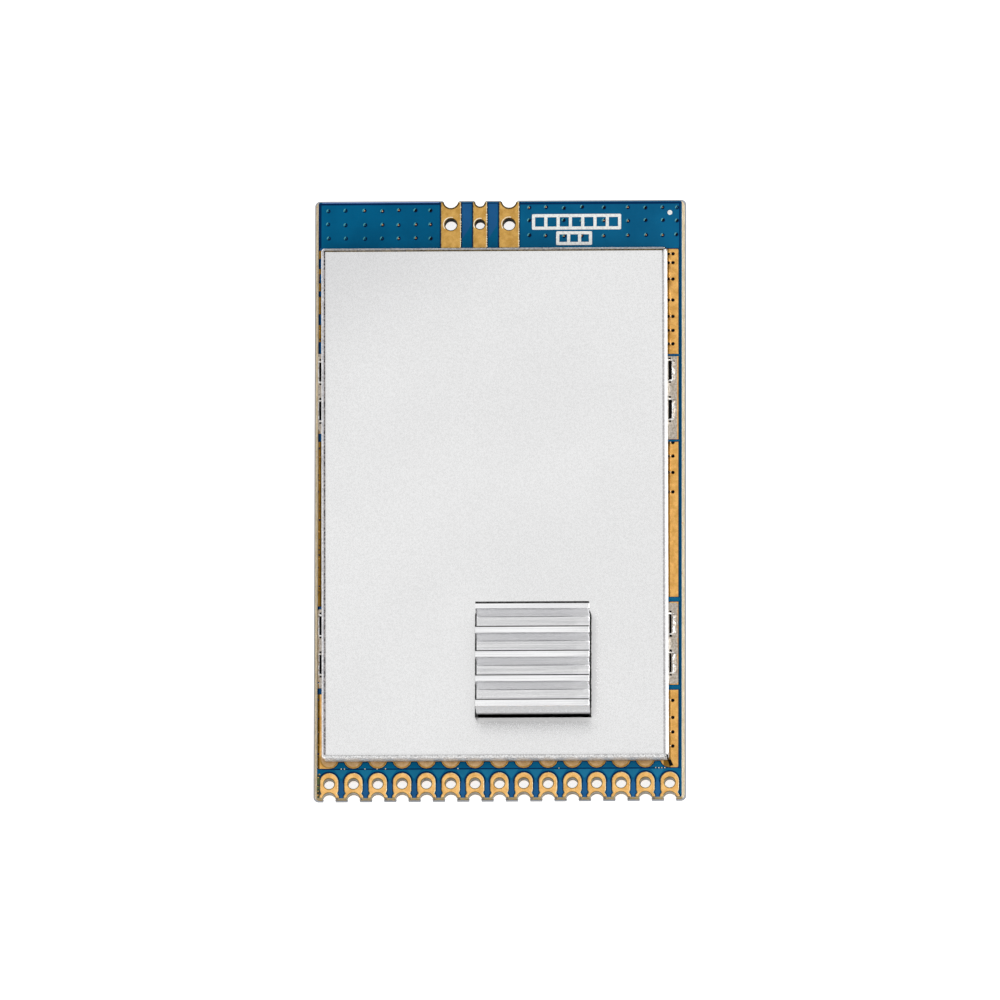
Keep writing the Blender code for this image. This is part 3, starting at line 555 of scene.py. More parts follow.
def gold_finish(name, dim=(1.0, 1.0, 1.0)):
    """Immersion gold over nickel: cloudy, grainy and stained. A dim factor gives other tones, among them
    darker copies that paint shade in holes, on rims and beside the can.
    """
    made = Finish(name, roughness=0.38, metallic=1.0)
    clouds = made.range(made.noise(1.6, 4.0, 0.6), 0.32, 0.68)
    gold = made.mix(clouds, (0.72, 0.385, 0.098), (0.94, 0.54, 0.170))
    grain = made.range(made.noise(14.0, 2.0), 0.35, 0.70)
    gold = made.mix(grain, made.tint(gold, (0.88, 0.86, 0.80)), gold)
    stains = made.range(made.noise(4.0, 3.0), 0.60, 0.72, 0.0, 0.35)
    gold = made.mix(stains, gold, (0.62, 0.27, 0.11))
    made.colour(made.tint(gold, dim))
    made.roughness(made.noise(3.0, 3.0), 0.30, 0.48)
    made.bump(made.noise(9.0, 3.0), 0.006)
    return made.material


def solder_finish():
    made = Finish("solder_grey", roughness=0.22, metallic=1.0)
    tone = made.range(made.noise(3.0, 3.0), 0.25, 0.5)
    made.colour(made.mix(tone, (0.36, 0.33, 0.31), (0.88, 0.87, 0.85)))
    made.roughness(made.noise(6.0, 2.0), 0.14, 0.36)
    made.bump(made.noise(7.0, 2.0), 0.010)
    return made.material


def can_finish():
    """Tin-plated sheet: a fine even grain, painted shade towards the upper left corner, and a pale matt patch
    of painted light beside the adhesive.
    """
    made = Finish("tinned_sheet", roughness=0.24, metallic=1.0)
    grain = made.noise(9.0, 1.5, 0.6, stretch=(1.0, 0.8, 1.0))
    clouds = made.range(made.noise(0.10, 2.0), 0.3, 0.7)
    tone = made.mix(made.range(grain, 0.22, 0.78), (0.756, 0.756, 0.756), (0.892, 0.892, 0.895))
    tone = made.mix(clouds, tone, made.tint(tone, (0.97, 0.97, 0.97)))
    # Painted shade: darker towards the upper left corner
    across = made.math("ADD", made.axis("X"), CAN_HIGH.x)
    down = made.math("SUBTRACT", CAN_HIGH.y, made.axis("Y"))
    far = made.math("ADD", made.math("MULTIPLY", across, SHADE_SLANT), down)
    corner = made.range(far, *SHADE_SPAN, SHADE_MOST, 0.0)
    tone = made.mix(corner, tone, made.tint(tone, (0.76, 0.76, 0.77)))
    # Painted light: a pale matt zone beside the heatsink in place of the black adhesive's reflection
    outside = made.length(made.beyond("X", SINK_X, SINK_HALF_X), made.beyond("Y", SINK_Y, SINK_HALF_Y))
    near = made.range(outside, HALO_FROM, HALO_REACH, 1.0, 0.0)
    right_of_edge = made.range(made.axis("X"), *[SINK_LOW.x + reach for reach in HALO_START])
    painted_halo = made.math("MULTIPLY", near, right_of_edge)
    made.colour(made.mix(painted_halo, tone, (0.96, 0.96, 0.96)))
    made.link(made.math("SUBTRACT", 1.0, painted_halo), made.shader.inputs["Metallic"])
    made.roughness(grain, 0.20, 0.28)
    made.bump(grain, 0.003)
    return made.material


def crease_finish(name, dark, light, spread=0.2):
    """Metal in two tones, for painted shade and painted highlights on bends, creases and edges, and for thin
    tin. A small spread makes it speckled.
    """
    made = Finish(name, roughness=0.35, metallic=1.0)
    grain = made.noise(6.0, 3.0, 0.6)
    made.colour(made.mix(made.range(grain, 0.5 - spread, 0.5 + spread), dark, light))
    made.roughness(grain, 0.28, 0.45)
    made.bump(grain, 0.012)
    return made.material


def wall_finish():
    """The can's near wall: tin darkened with painted shade, speckled light and dark."""
    made = Finish("wall_painted_shade", roughness=0.5, metallic=0.25)
    grain = made.noise(8.0, 2.0, 0.6)
    made.colour(made.mix(made.range(grain, 0.34, 0.66), (0.44, 0.44, 0.44), (0.88, 0.88, 0.875)))
    made.roughness(grain, 0.40, 0.60)
    made.bump(grain, 0.005)
    return made.material


def aluminium_finish(name, tone_share):
    """Clear-anodised extrusion: fine die lines along the fins and a satin grain. A tone share below one makes
    darker copies that paint shade.
    """
    made = Finish(name, roughness=0.20, metallic=1.0)
    lines = made.noise(7.0, 2.0, 0.5, stretch=(0.02, 1.0, 1.0))
    grain = made.noise(12.0, 1.0)
    tone = made.mix(made.range(lines, 0.3, 0.7), (0.86, 0.86, 0.87), (1.0, 1.0, 1.0))
    tone = made.mix(made.range(grain, 0.3, 0.7, 0.0, 0.5), tone, made.tint(tone, (0.94, 0.94, 0.94)))
    made.colour(made.tint(tone, (tone_share, tone_share, tone_share * 1.005)))
    made.roughness(grain, 0.16, 0.24)
    made.bump(lines, 0.008)
    return made.material


def laminate_finish():
    """Fibreglass: pale sanded flanks along the scored sides, and olive ends with darker layers."""
    made = Finish("bare_fibreglass", roughness=0.62, specular=0.3)
    fibres = made.noise(5.0, 3.0, 0.6, stretch=(1.0, 0.25, 3.0))
    pale = made.mix(made.range(fibres, 0.3, 0.72), (0.50, 0.39, 0.24), (0.80, 0.67, 0.50))
    grit = made.range(made.noise(11.0, 2.0), 0.35, 0.65)
    pale = made.mix(grit, made.tint(pale, (0.80, 0.80, 0.66)), pale)
    chips = made.range(made.noise(4.2, 2.0), 0.68, 0.72)
    pale = made.mix(chips, pale, (0.50, 0.22, 0.05))
    layers = made.noise(6.0, 3.0, 0.6, stretch=(0.35, 0.35, 3.0))
    olive = made.mix(made.range(layers, 0.32, 0.68), (0.12, 0.072, 0.012), (0.33, 0.22, 0.048))
    sideways = made.math("ABSOLUTE", made.facing("X"))
    end = made.mix(made.range(sideways, 0.3, 0.6), olive, pale)
    made.colour(made.mix(made.range(made.facing("Z"), 0.95, 0.99), end, (0.16, 0.13, 0.06)))
    made.bump(fibres, 0.02)
    return made.material


def black_finish(name="black_adhesive", glint_share=0.0):
    """A lumpy matt black. The adhesive's has a few grey flecks of painted highlight."""
    made = Finish(name, roughness=0.7, specular=0.05)
    lumps = made.noise(5.0, 3.0)
    black = made.mix(made.range(lumps, 0.3, 0.7), (0.0006, 0.0006, 0.0006), (0.006, 0.006, 0.0065))
    # Painted highlight: grey spots as glints on the adhesive
    glint_spots = made.range(made.noise(7.0, 2.0), 0.64, 0.68, 0.0, glint_share)
    made.colour(made.mix(glint_spots, black, (0.55, 0.55, 0.55)))
    made.roughness(lumps, 0.60, 0.80)
    made.bump(lumps, 0.03)
    return made.material


def lower_band_finish():
    """A band along the heatsink's lower edge, black at the bottom and grey higher up."""
    made = Finish("lower_dark_band", roughness=0.6, specular=0.1)
    ragged = made.math("ADD", made.axis("Z"), made.math("MULTIPLY", made.noise(6.0, 2.0), LOWER_BAND_RAGGED))
    share = made.range(ragged, *[SINK_LOW.z + LOWER_BAND_HEIGHT + reach for reach in LOWER_BAND_FADE])
    made.colour(made.mix(share, (0.016, 0.016, 0.017), (0.42, 0.42, 0.43)))
    made.roughness(made.noise(5.0, 2.0), 0.50, 0.70)
    made.bump(made.noise(6.0, 2.0), 0.02)
    return made.material


def ink_finish():
    made = Finish("white_ink", roughness=0.55, specular=0.3)
    edge_highlight = made.noise(6.0, 3.0)
    made.colour(made.mix(made.range(edge_highlight, 0.30, 0.62), (0.78, 0.79, 0.77), (0.97, 0.97, 0.94)))
    made.bump(edge_highlight, 0.006)
    return made.material


def simple_finish(name, dark, light, per_mm, roughness, metallic=0.0):
    """Two tones, a varied roughness and a faint bump, for spots and for the parts that the can hides."""
    made = Finish(name, roughness=roughness, metallic=metallic)
    pattern = made.noise(per_mm, 3.0)
    made.colour(made.mix(made.range(pattern, 0.3, 0.7), dark, light))
    made.roughness(pattern, roughness - 0.08, roughness + 0.08)
    made.bump(pattern, 0.01)
    return made.material


MASK_OVER_COPPER = mask_finish("mask_over_copper", (0.0008, 0.114, 0.246), (0.0045, 0.126, 0.268))
MASK_OVER_LAMINATE = mask_finish("mask_over_laminate", (0.016, 0.105, 0.270), (0.020, 0.130, 0.330))
MASK_NAVY = mask_finish("mask_in_gaps", (0.0010, 0.022, 0.085), (0.0015, 0.030, 0.110), 0.22)
GOLD = gold_finish("plated_gold")
ANTENNA_GOLD = gold_finish("antenna_gold", (0.80, 0.84, 0.78))
# Painted shade: gold dimmed for the ring's left column and the strip at the can's foot
SHADE_DIMMED_GOLD = gold_finish("painted_shade_gold", (0.36, 0.34, 0.20))
SHADED_GOLD = gold_finish("shaded_gold", (0.14, 0.13, 0.05))
STAINED_GOLD = gold_finish("stained_gold", (0.84, 0.98, 1.70))
SCALLOP_RIM = gold_finish("scallop_rim", (0.60, 0.60, 0.52))
# Painted shade: darker gold for the rims and barrels of the pads' holes and half holes
OLIVE_RIM_SHADE = gold_finish("olive_rim_painted_shade", (0.34, 0.42, 0.46))
SHADED_BARREL = gold_finish("barrel_painted_shade", (0.15, 0.21, 0.36))
RIM_SHADE_GOLD = gold_finish("rim_painted_shade", (0.13, 0.15, 0.16))
# Painted highlight: pale gold for glints, edge beads, specks and the ring's via glints
GLINT_GOLD = crease_finish("painted_highlight_gold", (0.88, 0.66, 0.38), (1.0, 0.95, 0.82))
# Painted highlight on the pads' right edges, and painted shade on their left edges
EDGE_HIGHLIGHT_GOLD = crease_finish("edge_painted_highlight", (0.75, 0.50, 0.22), (1.0, 0.92, 0.62))
EDGE_SHADE_OLIVE = crease_finish("edge_painted_shade", (0.16, 0.09, 0.02), (0.62, 0.48, 0.20))
BRIGHT_GOLD = gold_finish("bright_gold", (1.20, 1.25, 1.50))
SOLDER = solder_finish()
TINNED = can_finish()
# Painted shade and painted highlight on the can: a darker sheet on the left, a lighter one on the right, and
# a darker near wall
SHADED_SHEET = crease_finish("sheet_painted_shade", (0.50, 0.49, 0.51), (0.84, 0.83, 0.84))
BEND_HIGHLIGHT = crease_finish("bend_painted_highlight", (0.86, 0.85, 0.85), (1.0, 1.0, 1.0))
SHADED_WALL = wall_finish()
# Painted shade: dark creases along the left and far bends
CREASE_SHADE = crease_finish("painted_crease_shade", (0.015, 0.012, 0.012), (0.34, 0.30, 0.29), 0.08)
WARM_CREASE_SHADE = crease_finish("painted_warm_crease_shade", (0.03, 0.02, 0.012), (0.22, 0.17, 0.09))
# Painted shade: a dark edge along each fin's crest
CREST_EDGE_SHADE = crease_finish("painted_crest_shade", (0.02, 0.02, 0.02), (0.10, 0.10, 0.10))
# Painted shade: a mid-grey for the right crease, part of the near crease, the far wall and one corner
SOFT_CREASE_SHADE = crease_finish("painted_faint_shade", (0.38, 0.37, 0.38), (0.62, 0.61, 0.61))
TIN_WASH = crease_finish("thin_tin", (0.34, 0.29, 0.23), (0.62, 0.56, 0.49))
# Painted highlight: pale cyan on the tented vias' upper left rims
TENT_HIGHLIGHT = mask_finish("mask_painted_highlight", (0.10, 0.40, 0.44), (0.14, 0.42, 0.46))
# Painted highlight: lavender along the film's antenna edge
MASK_EDGE_HIGHLIGHT = mask_finish("mask_painted_edge_highlight", (0.22, 0.34, 0.72), (0.06, 0.14, 0.34))
MASK_DEEP = mask_finish("mask_over_edge", (0.0010, 0.045, 0.110), (0.0020, 0.052, 0.130))
CHIPPED = mask_finish("chipped_film", (0.085, 0.115, 0.045), (0.085, 0.115, 0.045))
MASK_BRIGHT = mask_finish("mask_lit_wedges", (0.010, 0.165, 0.300), (0.016, 0.190, 0.350))
# Painted shade: copies of one aluminium, full tone on the fins' sides, a little darker on the crests, darker
# on the floors and ends
ALUMINIUM_SHADED = aluminium_finish("satin_aluminium_painted_shade", 0.84)
ALUMINIUM_SIDE = aluminium_finish("satin_sides", 1.0)
ALUMINIUM_CREST_SHADED = aluminium_finish("satin_crests_painted_shade", 0.96)
LAMINATE = laminate_finish()
ADHESIVE = black_finish(glint_share=0.7)
LOWER_BAND = lower_band_finish()
# Painted shade: a black put in holes, slots, slit corners and via dimples where only shade falls
HOLE_SHADE_BLACK = black_finish("painted_hole_shade")
BROWN_BLACK = simple_finish("brown_black", (0.012, 0.006, 0.003), (0.050, 0.028, 0.012), 5.0, 0.6)
# The pads' rims, barrels and left edges carry painted shade, their right edges a painted highlight, and the
# antenna barrels are black as shade
PAD_FINISHES = [BRIGHT_GOLD, OLIVE_RIM_SHADE, EDGE_HIGHLIGHT_GOLD, SHADED_BARREL, EDGE_SHADE_OLIVE]
ANTENNA_FINISHES = [ANTENNA_GOLD, RIM_SHADE_GOLD, EDGE_HIGHLIGHT_GOLD, HOLE_SHADE_BLACK, EDGE_SHADE_OLIVE]
PAD_RIM, PAD_HIGHLIGHT_EDGE, PAD_BARREL, PAD_SHADED_EDGE = range(1, 5)
COPPER_SPOT = simple_finish("bare_copper", (0.55, 0.26, 0.12), (0.80, 0.52, 0.36), 6.0, 0.35, 0.6)
INK = ink_finish()


# Pads

TOP_STEPS = 12
BITE_OUT = 0.5


class Pad:
    """A pad's sizes in its own frame: u across it and v inwards from the board's edge."""

    def __init__(self, x, edge, inward, widths, length, corner, hole, notch):
        self.x = x
        self.edge = edge
        self.inward = inward
        self.width, self.waist, self.foot = widths
        self.length = length
        self.corner = corner
        self.hole_radius, self.hole_v = hole
        self.notch_radius, self.notch_depth = notch

    def at(self, u, v):
        return (self.x + u, self.edge + self.inward * v)

    def side(self, grow, start_v):
        """One side from the board's edge to the top, as (half width, v) pairs."""
        if self.waist == self.width:
            return [(self.width / 2 + grow, start_v)]
        return [
            (self.foot / 2 + grow, start_v),
            (self.foot / 2 + grow, FOOT_FROM_EDGE),
            (self.waist / 2 + grow, WAIST_FROM_EDGE),
            (self.width / 2 + grow, SHOULDER_FROM_EDGE),
        ]

    def outline(self, grow, start_v):
        """From the left foot over the top to the right foot."""
        half = self.width / 2 + grow
        top = self.length + grow
        radius = min(self.corner + grow, half)
        side = self.side(grow, start_v)
        path = [(-u, v) for u, v in side]
        path += arc(-half + radius, top - radius, radius, 180, 90, TOP_STEPS)
        path += arc(half - radius, top - radius, radius, 90, 0, TOP_STEPS)
        return path + side[::-1]

    def bite(self, grow):
        """The pad's outline, grown, and carried out past the board's edge."""
        path = self.outline(grow, 0.0)
        path = [(path[0][0], -BITE_OUT), *path, (path[-1][0], -BITE_OUT)]
        return [self.at(u, v) for u, v in path]

    def land(self, inset):
        """The land with its half hole, moved inwards by an inset."""
        path = self.outline(-inset, inset)
        centre = self.notch_depth - self.notch_radius
        radius = self.notch_radius + inset
        turn = math.degrees(math.asin((inset - centre) / radius))
        path += arc(0.0, centre, radius, turn, 180 - turn, HOLE_SIDES // 2)
        return [self.at(u, v) for u, v in path]

    def bore(self, inset):
        x, y = self.at(0.0, self.hole_v)
        return circle(x, y, self.hole_radius + inset)

    def distance(self, x, y):
        """How far a place lies outside the pad's outline."""
        across = abs(x - self.x)
        v = (y - self.edge) * self.inward
        centre = self.length - self.corner
        if v <= centre:
            return across - self.width / 2
        if self.corner >= self.width / 2:
            return math.hypot(across, v - centre) - self.width / 2
        return max(across - self.width / 2, v - self.length)


PAD_CENTRES = [(index - (PAD_COUNT - 1) / 2) * PAD_PITCH for index in range(PAD_COUNT)]
ROW_WIDTHS = (PAD_WIDTH, PAD_WAIST, PAD_FOOT)
ROW_HOLE = (PAD_HOLE / 2, PAD_HOLE_FROM_EDGE)
ROW_PADS = [
    Pad(x, -BOARD_HALF_LENGTH, 1, ROW_WIDTHS, PAD_LENGTH, PAD_WIDTH / 2, ROW_HOLE, PAD_NOTCH)
    for x in PAD_CENTRES
]


def antenna_pad(x, width, hole, notch):
    hole = (hole / 2, ANTENNA_HOLE_FROM_EDGE)
    return Pad(x, BOARD_HALF_LENGTH, -1, (width, width, width), ANTENNA_LENGTH, ANTENNA_CORNER, hole, notch)


ANTENNA_PADS = {
    "antenna_ground_pad_left": antenna_pad(FEED_X - ANTENNA_PITCH, GROUND_WIDTH, GROUND_HOLE, GROUND_NOTCH),
    "antenna_feed_pad": antenna_pad(FEED_X, FEED_WIDTH, FEED_HOLE, FEED_NOTCH),
    "antenna_ground_pad_right": antenna_pad(FEED_X + ANTENNA_PITCH, GROUND_WIDTH, GROUND_HOLE, GROUND_NOTCH),
}
ALL_PADS = ROW_PADS + list(ANTENNA_PADS.values())


def pad_shape(pad):
    """Two lands with eased edges, the plated hole between them and the plated half hole in the edge."""
    notch_x, notch_y = pad.at(0.0, pad.notch_depth - pad.notch_radius)

    def edge_finish(x, y):
        if math.hypot(x - notch_x, y - notch_y) < pad.notch_radius + NOTCH_MATCH:
            return PAD_RIM
        # Painted highlight on the right edge and painted shade on the left edge
        return PAD_HIGHLIGHT_EDGE if x > pad.x else PAD_SHADED_EDGE

    # Painted shade: a dark rim round each antenna half hole
    rims = [circle(notch_x, notch_y, pad.notch_radius + NOTCH_RIM)] if pad.inward < 0 else []
    shape = Shape()
    shape.plate(pad.land, [pad.bore], BOARD_TOP - LAND_THICKNESS, BOARD_TOP, edge_finish, PAD_RIM, rims)
    low = Shape()
    low.plate(pad.land, [pad.bore], -LAND_THICKNESS, 0.0, edge_finish, PAD_RIM)
    shape.mesh_of([(x, y, -z) for x, y, z in low.corners], [face[::-1] for face in low.faces], low.finishes)
    x, y = pad.at(0.0, pad.hole_v)
    bottom = LAND_THICKNESS / 2
    top = BOARD_TOP - LAND_THICKNESS / 2
    shape.tube(x, y, pad.hole_radius, pad.hole_radius + BARREL_WALL, bottom, top, finish=PAD_BARREL)
    radius = pad.notch_radius + NOTCH_WALL
    turn = math.degrees(math.asin((pad.notch_radius - pad.notch_depth) / radius))
    start, end = (turn, 180 - turn) if pad.inward > 0 else (180 + turn, 360 - turn)
    steps = HOLE_SIDES // 2
    shape.tube(notch_x, notch_y, pad.notch_radius, radius, bottom, top, start, end, steps, PAD_BARREL)
    return shape


GLINT_GAP = 0.01
GLINT_WIDTH = 0.08
GLINT_TURN = (75, 215)
GLINT_STEPS = 16
GLINT_RISE = 0.004
BEAD_STEP = 0.2
BEAD_SHARE = 0.75
BEAD_ENDS = (0.45, 0.15)
BEAD_INSET = 0.02
BEAD_SUNK = 0.01
BEAD_RADIUS = (0.05, 0.08)
BEAD_HEIGHT = 0.03
SPECK_X = (-13.0, -12.74, -11.05, -10.05, -9.36, -3.4, 4.9, 12.85, 13.10, 13.35, 13.60)
SPECK_Y = -22.57
SPECK_WANDER = 0.03
SPECK_RADIUS = 0.055


def make_glints():
    """Painted highlights: crescents and edge beads on the antenna pads, and specks in a line behind the row
    that stand for solder specks and glints alike.
    """
    shape = Shape()
    chance = random.Random(5)
    for pad in ANTENNA_PADS.values():
        x, y = pad.at(0.0, pad.hole_v)
        inner = pad.hole_radius + HOLE_RIM + GLINT_GAP
        start, end = GLINT_TURN
        outline = arc(x, y, inner + GLINT_WIDTH, start, end, GLINT_STEPS)
        outline += arc(x, y, inner, end, start, GLINT_STEPS)
        shape.slab(outline, BOARD_TOP - GLINT_RISE, BOARD_TOP + GLINT_RISE)
        for v in steps_between(BEAD_ENDS[0], pad.length - BEAD_ENDS[1], BEAD_STEP):
            if chance.random() < BEAD_SHARE:
                x, y = pad.at(pad.width / 2 - BEAD_INSET, v)
                shape.dome(x, y, BOARD_TOP - BEAD_SUNK, chance.uniform(*BEAD_RADIUS), BEAD_HEIGHT)
    for x in SPECK_X:
        shape.dome(x, SPECK_Y + SPECK_WANDER * ripple(x, 1.0), BOARD_TOP, SPECK_RADIUS, BEAD_HEIGHT)
    add_piece("painted_highlight_specks", shape, [GLINT_GOLD])


NOTCH_SHADE_OFFSET = 0.57
NOTCH_SHADE_WIDTH = (0.12, 0.20)
NOTCH_SHADE_LOW = (0.10, 0.40)
NOTCH_SHADE_TOP_GAP = 0.09
NOTCH_SHADE_OUT = 0.006
NOTCH_SHADE_IN = 0.03


def make_notch_shade():
    """Dark patches of painted shade on the sawn edge beside each half hole."""
    shape = Shape()
    chance = random.Random(3)
    edge = -BOARD_HALF_LENGTH
    for pad in ROW_PADS[:-1]:
        left = pad.x + NOTCH_SHADE_OFFSET
        right = left + chance.uniform(*NOTCH_SHADE_WIDTH)
        low = chance.uniform(*NOTCH_SHADE_LOW)
        shape.slab(rectangle(left, right, edge - NOTCH_SHADE_OUT, edge + NOTCH_SHADE_IN), low, BOARD_TOP - NOTCH_SHADE_TOP_GAP)
    add_piece("painted_notch_shade", shape, [BROWN_BLACK])


def make_pads():
    for number, pad in enumerate(ROW_PADS, 1):
        add_piece(f"plated_pad_{number:02d}", pad_shape(pad), PAD_FINISHES, [f"pad_{number:02d}"])
    for name, pad in ANTENNA_PADS.items():
        add_piece(f"plated_{name}", pad_shape(pad), ANTENNA_FINISHES, [name])


# Ground ring

RING_ARC_STEPS = 4
SCALLOP_STEPS = 16


def ring_outline(grow=0.0):
    left = RING_LEFT - grow
    right = RING_RIGHT + grow
    top = RING_TOP_Y + grow
    straight = RING_STRAIGHT_Y - grow
    radius = SCALLOP_RADIUS + grow
    bottom = SCALLOP_Y - radius
    dip = math.degrees(math.asin((SCALLOP_Y - straight) / radius))
    corner = RING_CORNER
    steps = RING_ARC_STEPS
    outline = arc(left + corner, bottom + corner, corner, 180, 270, steps)
    outline += arc(PAD_CENTRES[0], SCALLOP_Y, radius, 270, 360 - dip, SCALLOP_STEPS // 2)
    for x in PAD_CENTRES[1:-1]:
        outline += arc(x, SCALLOP_Y, radius, 180 + dip, 360 - dip, SCALLOP_STEPS)
    outline += arc(PAD_CENTRES[-1], SCALLOP_Y, radius, 180 + dip, 270, SCALLOP_STEPS // 2)
    outline += arc(right - corner, bottom + corner, corner, 270, 360, steps)
    outline += arc(right - corner, top - corner, corner, 0, 90, steps)
    outline += arc(left + corner, top - corner, corner, 90, 180, steps)
    return outline


def ring_distance(x, y):
    """How far a place lies outside the ring's outer edge."""
    outside = max(RING_LEFT - x, x - RING_RIGHT, y - RING_TOP_Y, RING_STRAIGHT_Y - y)
    nearest = min(PAD_CENTRES, key=lambda centre: abs(centre - x))
    scallop = math.hypot(x - nearest, y - SCALLOP_Y) - SCALLOP_RADIUS
    return min(outside, scallop)


def leg_slots():
    found = []
    half = LEG_WIDTH / 2 + SLOT_END
    for wall, outward in ((CAN_LOW.x, -1), (CAN_HIGH.x, 1)):
        sides = sorted((wall + outward * SLOT_OUT, wall - outward * (SHEET + SLOT_IN)))
        found += [rounded_rectangle(*sides, y - half, y + half, SLOT_CORNER) for y in LEG_CENTRES]
    return found


VIA_X = 14.25
VIA_INNER_X = 13.86
VIA_ROWS = (20.55, 19.80, 18.42, 16.66, 15.28, 14.10, 12.97, 4.68, 3.54, 2.16, 0.53)
VIA_SINGLE_ROWS = (-16.94, -18.37, -19.58, -20.76)
VIA_RADIUS = 0.16
VIA_BORE = 0.135
VIA_DROP = 0.03
VIA_GLINT = (-0.20, 0.03, 0.045)
# Each tinned zone's side, low end and high end
TIN_ZONES = ((1, 4.97, 11.92), (1, -15.56, -8.77), (-1, 5.56, 12.26), (-1, -15.80, -9.19))
TIN_INSET_LEFT = 0.10
TIN_INSET_RIGHT = 0.09
OUTER_COLUMN = 0.14
LOW_COLUMN = 0.17
SHADED_ABOVE = -16.3
FOOT_SHADOW = 0.12
UNDER_CAN = 0.5
SCALLOP_RIMS = (0.02, 0.13)


def ring_vias():
    places = [(x, y) for x in (VIA_X, VIA_INNER_X) for y in VIA_ROWS]
    return places + [(VIA_X, y) for y in VIA_SINGLE_ROWS]


def make_ring():
    """The ring's gold face: dimmed with painted shade along the left and at the can's foot, tinned by the
    legs and behind the pads, with vias painted black as shade and a painted highlight beside the outer ones.
    """
    finishes = [GOLD, HOLE_SHADE_BLACK, SHADE_DIMMED_GOLD, SHADED_GOLD, TIN_WASH, GLINT_GOLD, STAINED_GOLD, SCALLOP_RIM]
    gold, black, dim_shade, shaded, tin, pale, stained, rim = range(len(finishes))
    vias = ring_vias()

    def height(x, y):
        nearest = min(math.hypot(x - via_x, y - via_y) for via_x, via_y in vias)
        drop = limited((VIA_RADIUS - nearest) / (VIA_RADIUS - VIA_BORE))
        edge = limited((ring_distance(x, y) + RING_EASE) / RING_EASE)
        return RING_TOP - VIA_DROP * drop - RING_EASE_DROP * edge

    band = RING_BAND
    inner = rectangle(CAN_LOW.x + band, CAN_HIGH.x - band, CAN_LOW.y + band, CAN_HIGH.y - band)
    bottom, top = SCALLOP_Y - SCALLOP_RADIUS, RING_TOP_Y
    left, column = RING_LEFT, RING_LEFT + OUTER_COLUMN
    under_left, under_right = CAN_LOW.x + UNDER_CAN, CAN_HIGH.x - UNDER_CAN
    foot = CAN_HIGH.x + FOOT_SHADOW
    lean = CAN_SKEW * top
    shadow = [(foot - UNDER_CAN, bottom), (foot + lean, bottom), (foot - lean, top), (foot - UNDER_CAN, top)]
    areas = [
        (ring_outline(-RING_EASE), gold),
        # Painted shade: the left columns and the strip at the can's foot
        (rectangle(left, column, SHADED_ABOVE, top), dim_shade),
        (rectangle(left, left + LOW_COLUMN, bottom, SHADED_ABOVE), shaded),
        (rectangle(column, under_left, SHADED_ABOVE, top), shaded),
        (shadow, dim_shade),
    ]
    for inset, finish in zip(SCALLOP_RIMS, (rim, stained)):
        areas += [(circle(x, SCALLOP_Y, SCALLOP_RADIUS - inset), finish) for x in PAD_CENTRES[:-1]]
    spans = {-1: (left + TIN_INSET_LEFT, under_left), 1: (under_right, RING_RIGHT - TIN_INSET_RIGHT)}
    areas += [(rectangle(*spans[side], low, high), tin) for side, low, high in TIN_ZONES]
    areas += [(circle(x, y, VIA_RADIUS, VIA_SIDES), gold) for x, y in vias]
    # Painted shade: each via's bore is black; painted highlight: a pale spot beside each outer via
    areas += [(circle(x, y, VIA_BORE, VIA_SIDES), black) for x, y in vias]
    glint_x, glint_y, glint_radius = VIA_GLINT
    for x, y in vias:
        if x > VIA_INNER_X:
            areas.append((circle(x + glint_x, y + glint_y, glint_radius, DOME_SIDES), pale))
    shape = Shape()
    shape.sheet(ring_outline(), height, RING_TOP - RING_THICKNESS, holes=[inner, *leg_slots()], areas=areas)
    add_piece("plated_ground_ring", shape, finishes, ["shield_ground_ring"], smooth=50)


# Solder mask

# The low and high ends of the film's tongues over the ring
RIGHT_DAMS = ((11.93, 12.12), (4.73, 4.94), (-8.69, -8.27), (-16.06, -15.63))
LEFT_DAMS = (
    (19.42, 21.20), (18.21, 18.97), (17.12, 17.54), (14.69, 15.61),
    (12.26, 13.26), (4.88, 5.55), (-9.19, -8.94), (-16.31, -15.81),
)
DAMS = [(1, *ends) for ends in RIGHT_DAMS] + [(-1, *ends) for ends in LEFT_DAMS]
DAM_UNDER_CAN = 0.4
DAM_STEPS = 8
DAM_OVERHANG = 0.2
DAM_EDGE = 0.05
DAM_FACE_INSET = 0.15
RAGGED = 0.02
RAGGED_SIZE = 0.15


def dam_outline(side, low, high):
    """A tongue of film over the ring, with slightly ragged edges, carried out past the film."""
    return tongue(side, low, high, DAM_OVERHANG, 0.0)


def dam_face(side, low, high):
    """The tongue's own tone, inside its darker edges."""
    return tongue(side, low, high, -DAM_FACE_INSET, DAM_EDGE)


def tongue(side, low, high, reach, shrink):
    inner = CAN_LOW.x + DAM_UNDER_CAN if side < 0 else CAN_HIGH.x - DAM_UNDER_CAN
    outer = side * (MASK_HALF_WIDTH + reach)
    steps = [inner + (outer - inner) * step / DAM_STEPS for step in range(DAM_STEPS + 1)]
    lower = [(x, low + shrink + RAGGED * ripple(x, low, size=RAGGED_SIZE)) for x in steps]
    upper = [(x, high - shrink + RAGGED * ripple(x, high, size=RAGGED_SIZE)) for x in reversed(steps)]
    return lower + upper


STRIP_MARGIN = 0.07
# The bare strip between two pads as (distance from the edge, change of half width), and its pointed top
STRIP_SIDE = ((0.0, -0.05), (0.18, -0.05), (0.38, 0.05), (0.62, 0.0), (1.15, 0.0))
STRIP_TOP = (1.48, 0.03)
WEDGE_LOW = 1.58
WEDGE_HIGH = 2.34
WEDGE_HALF = 0.55


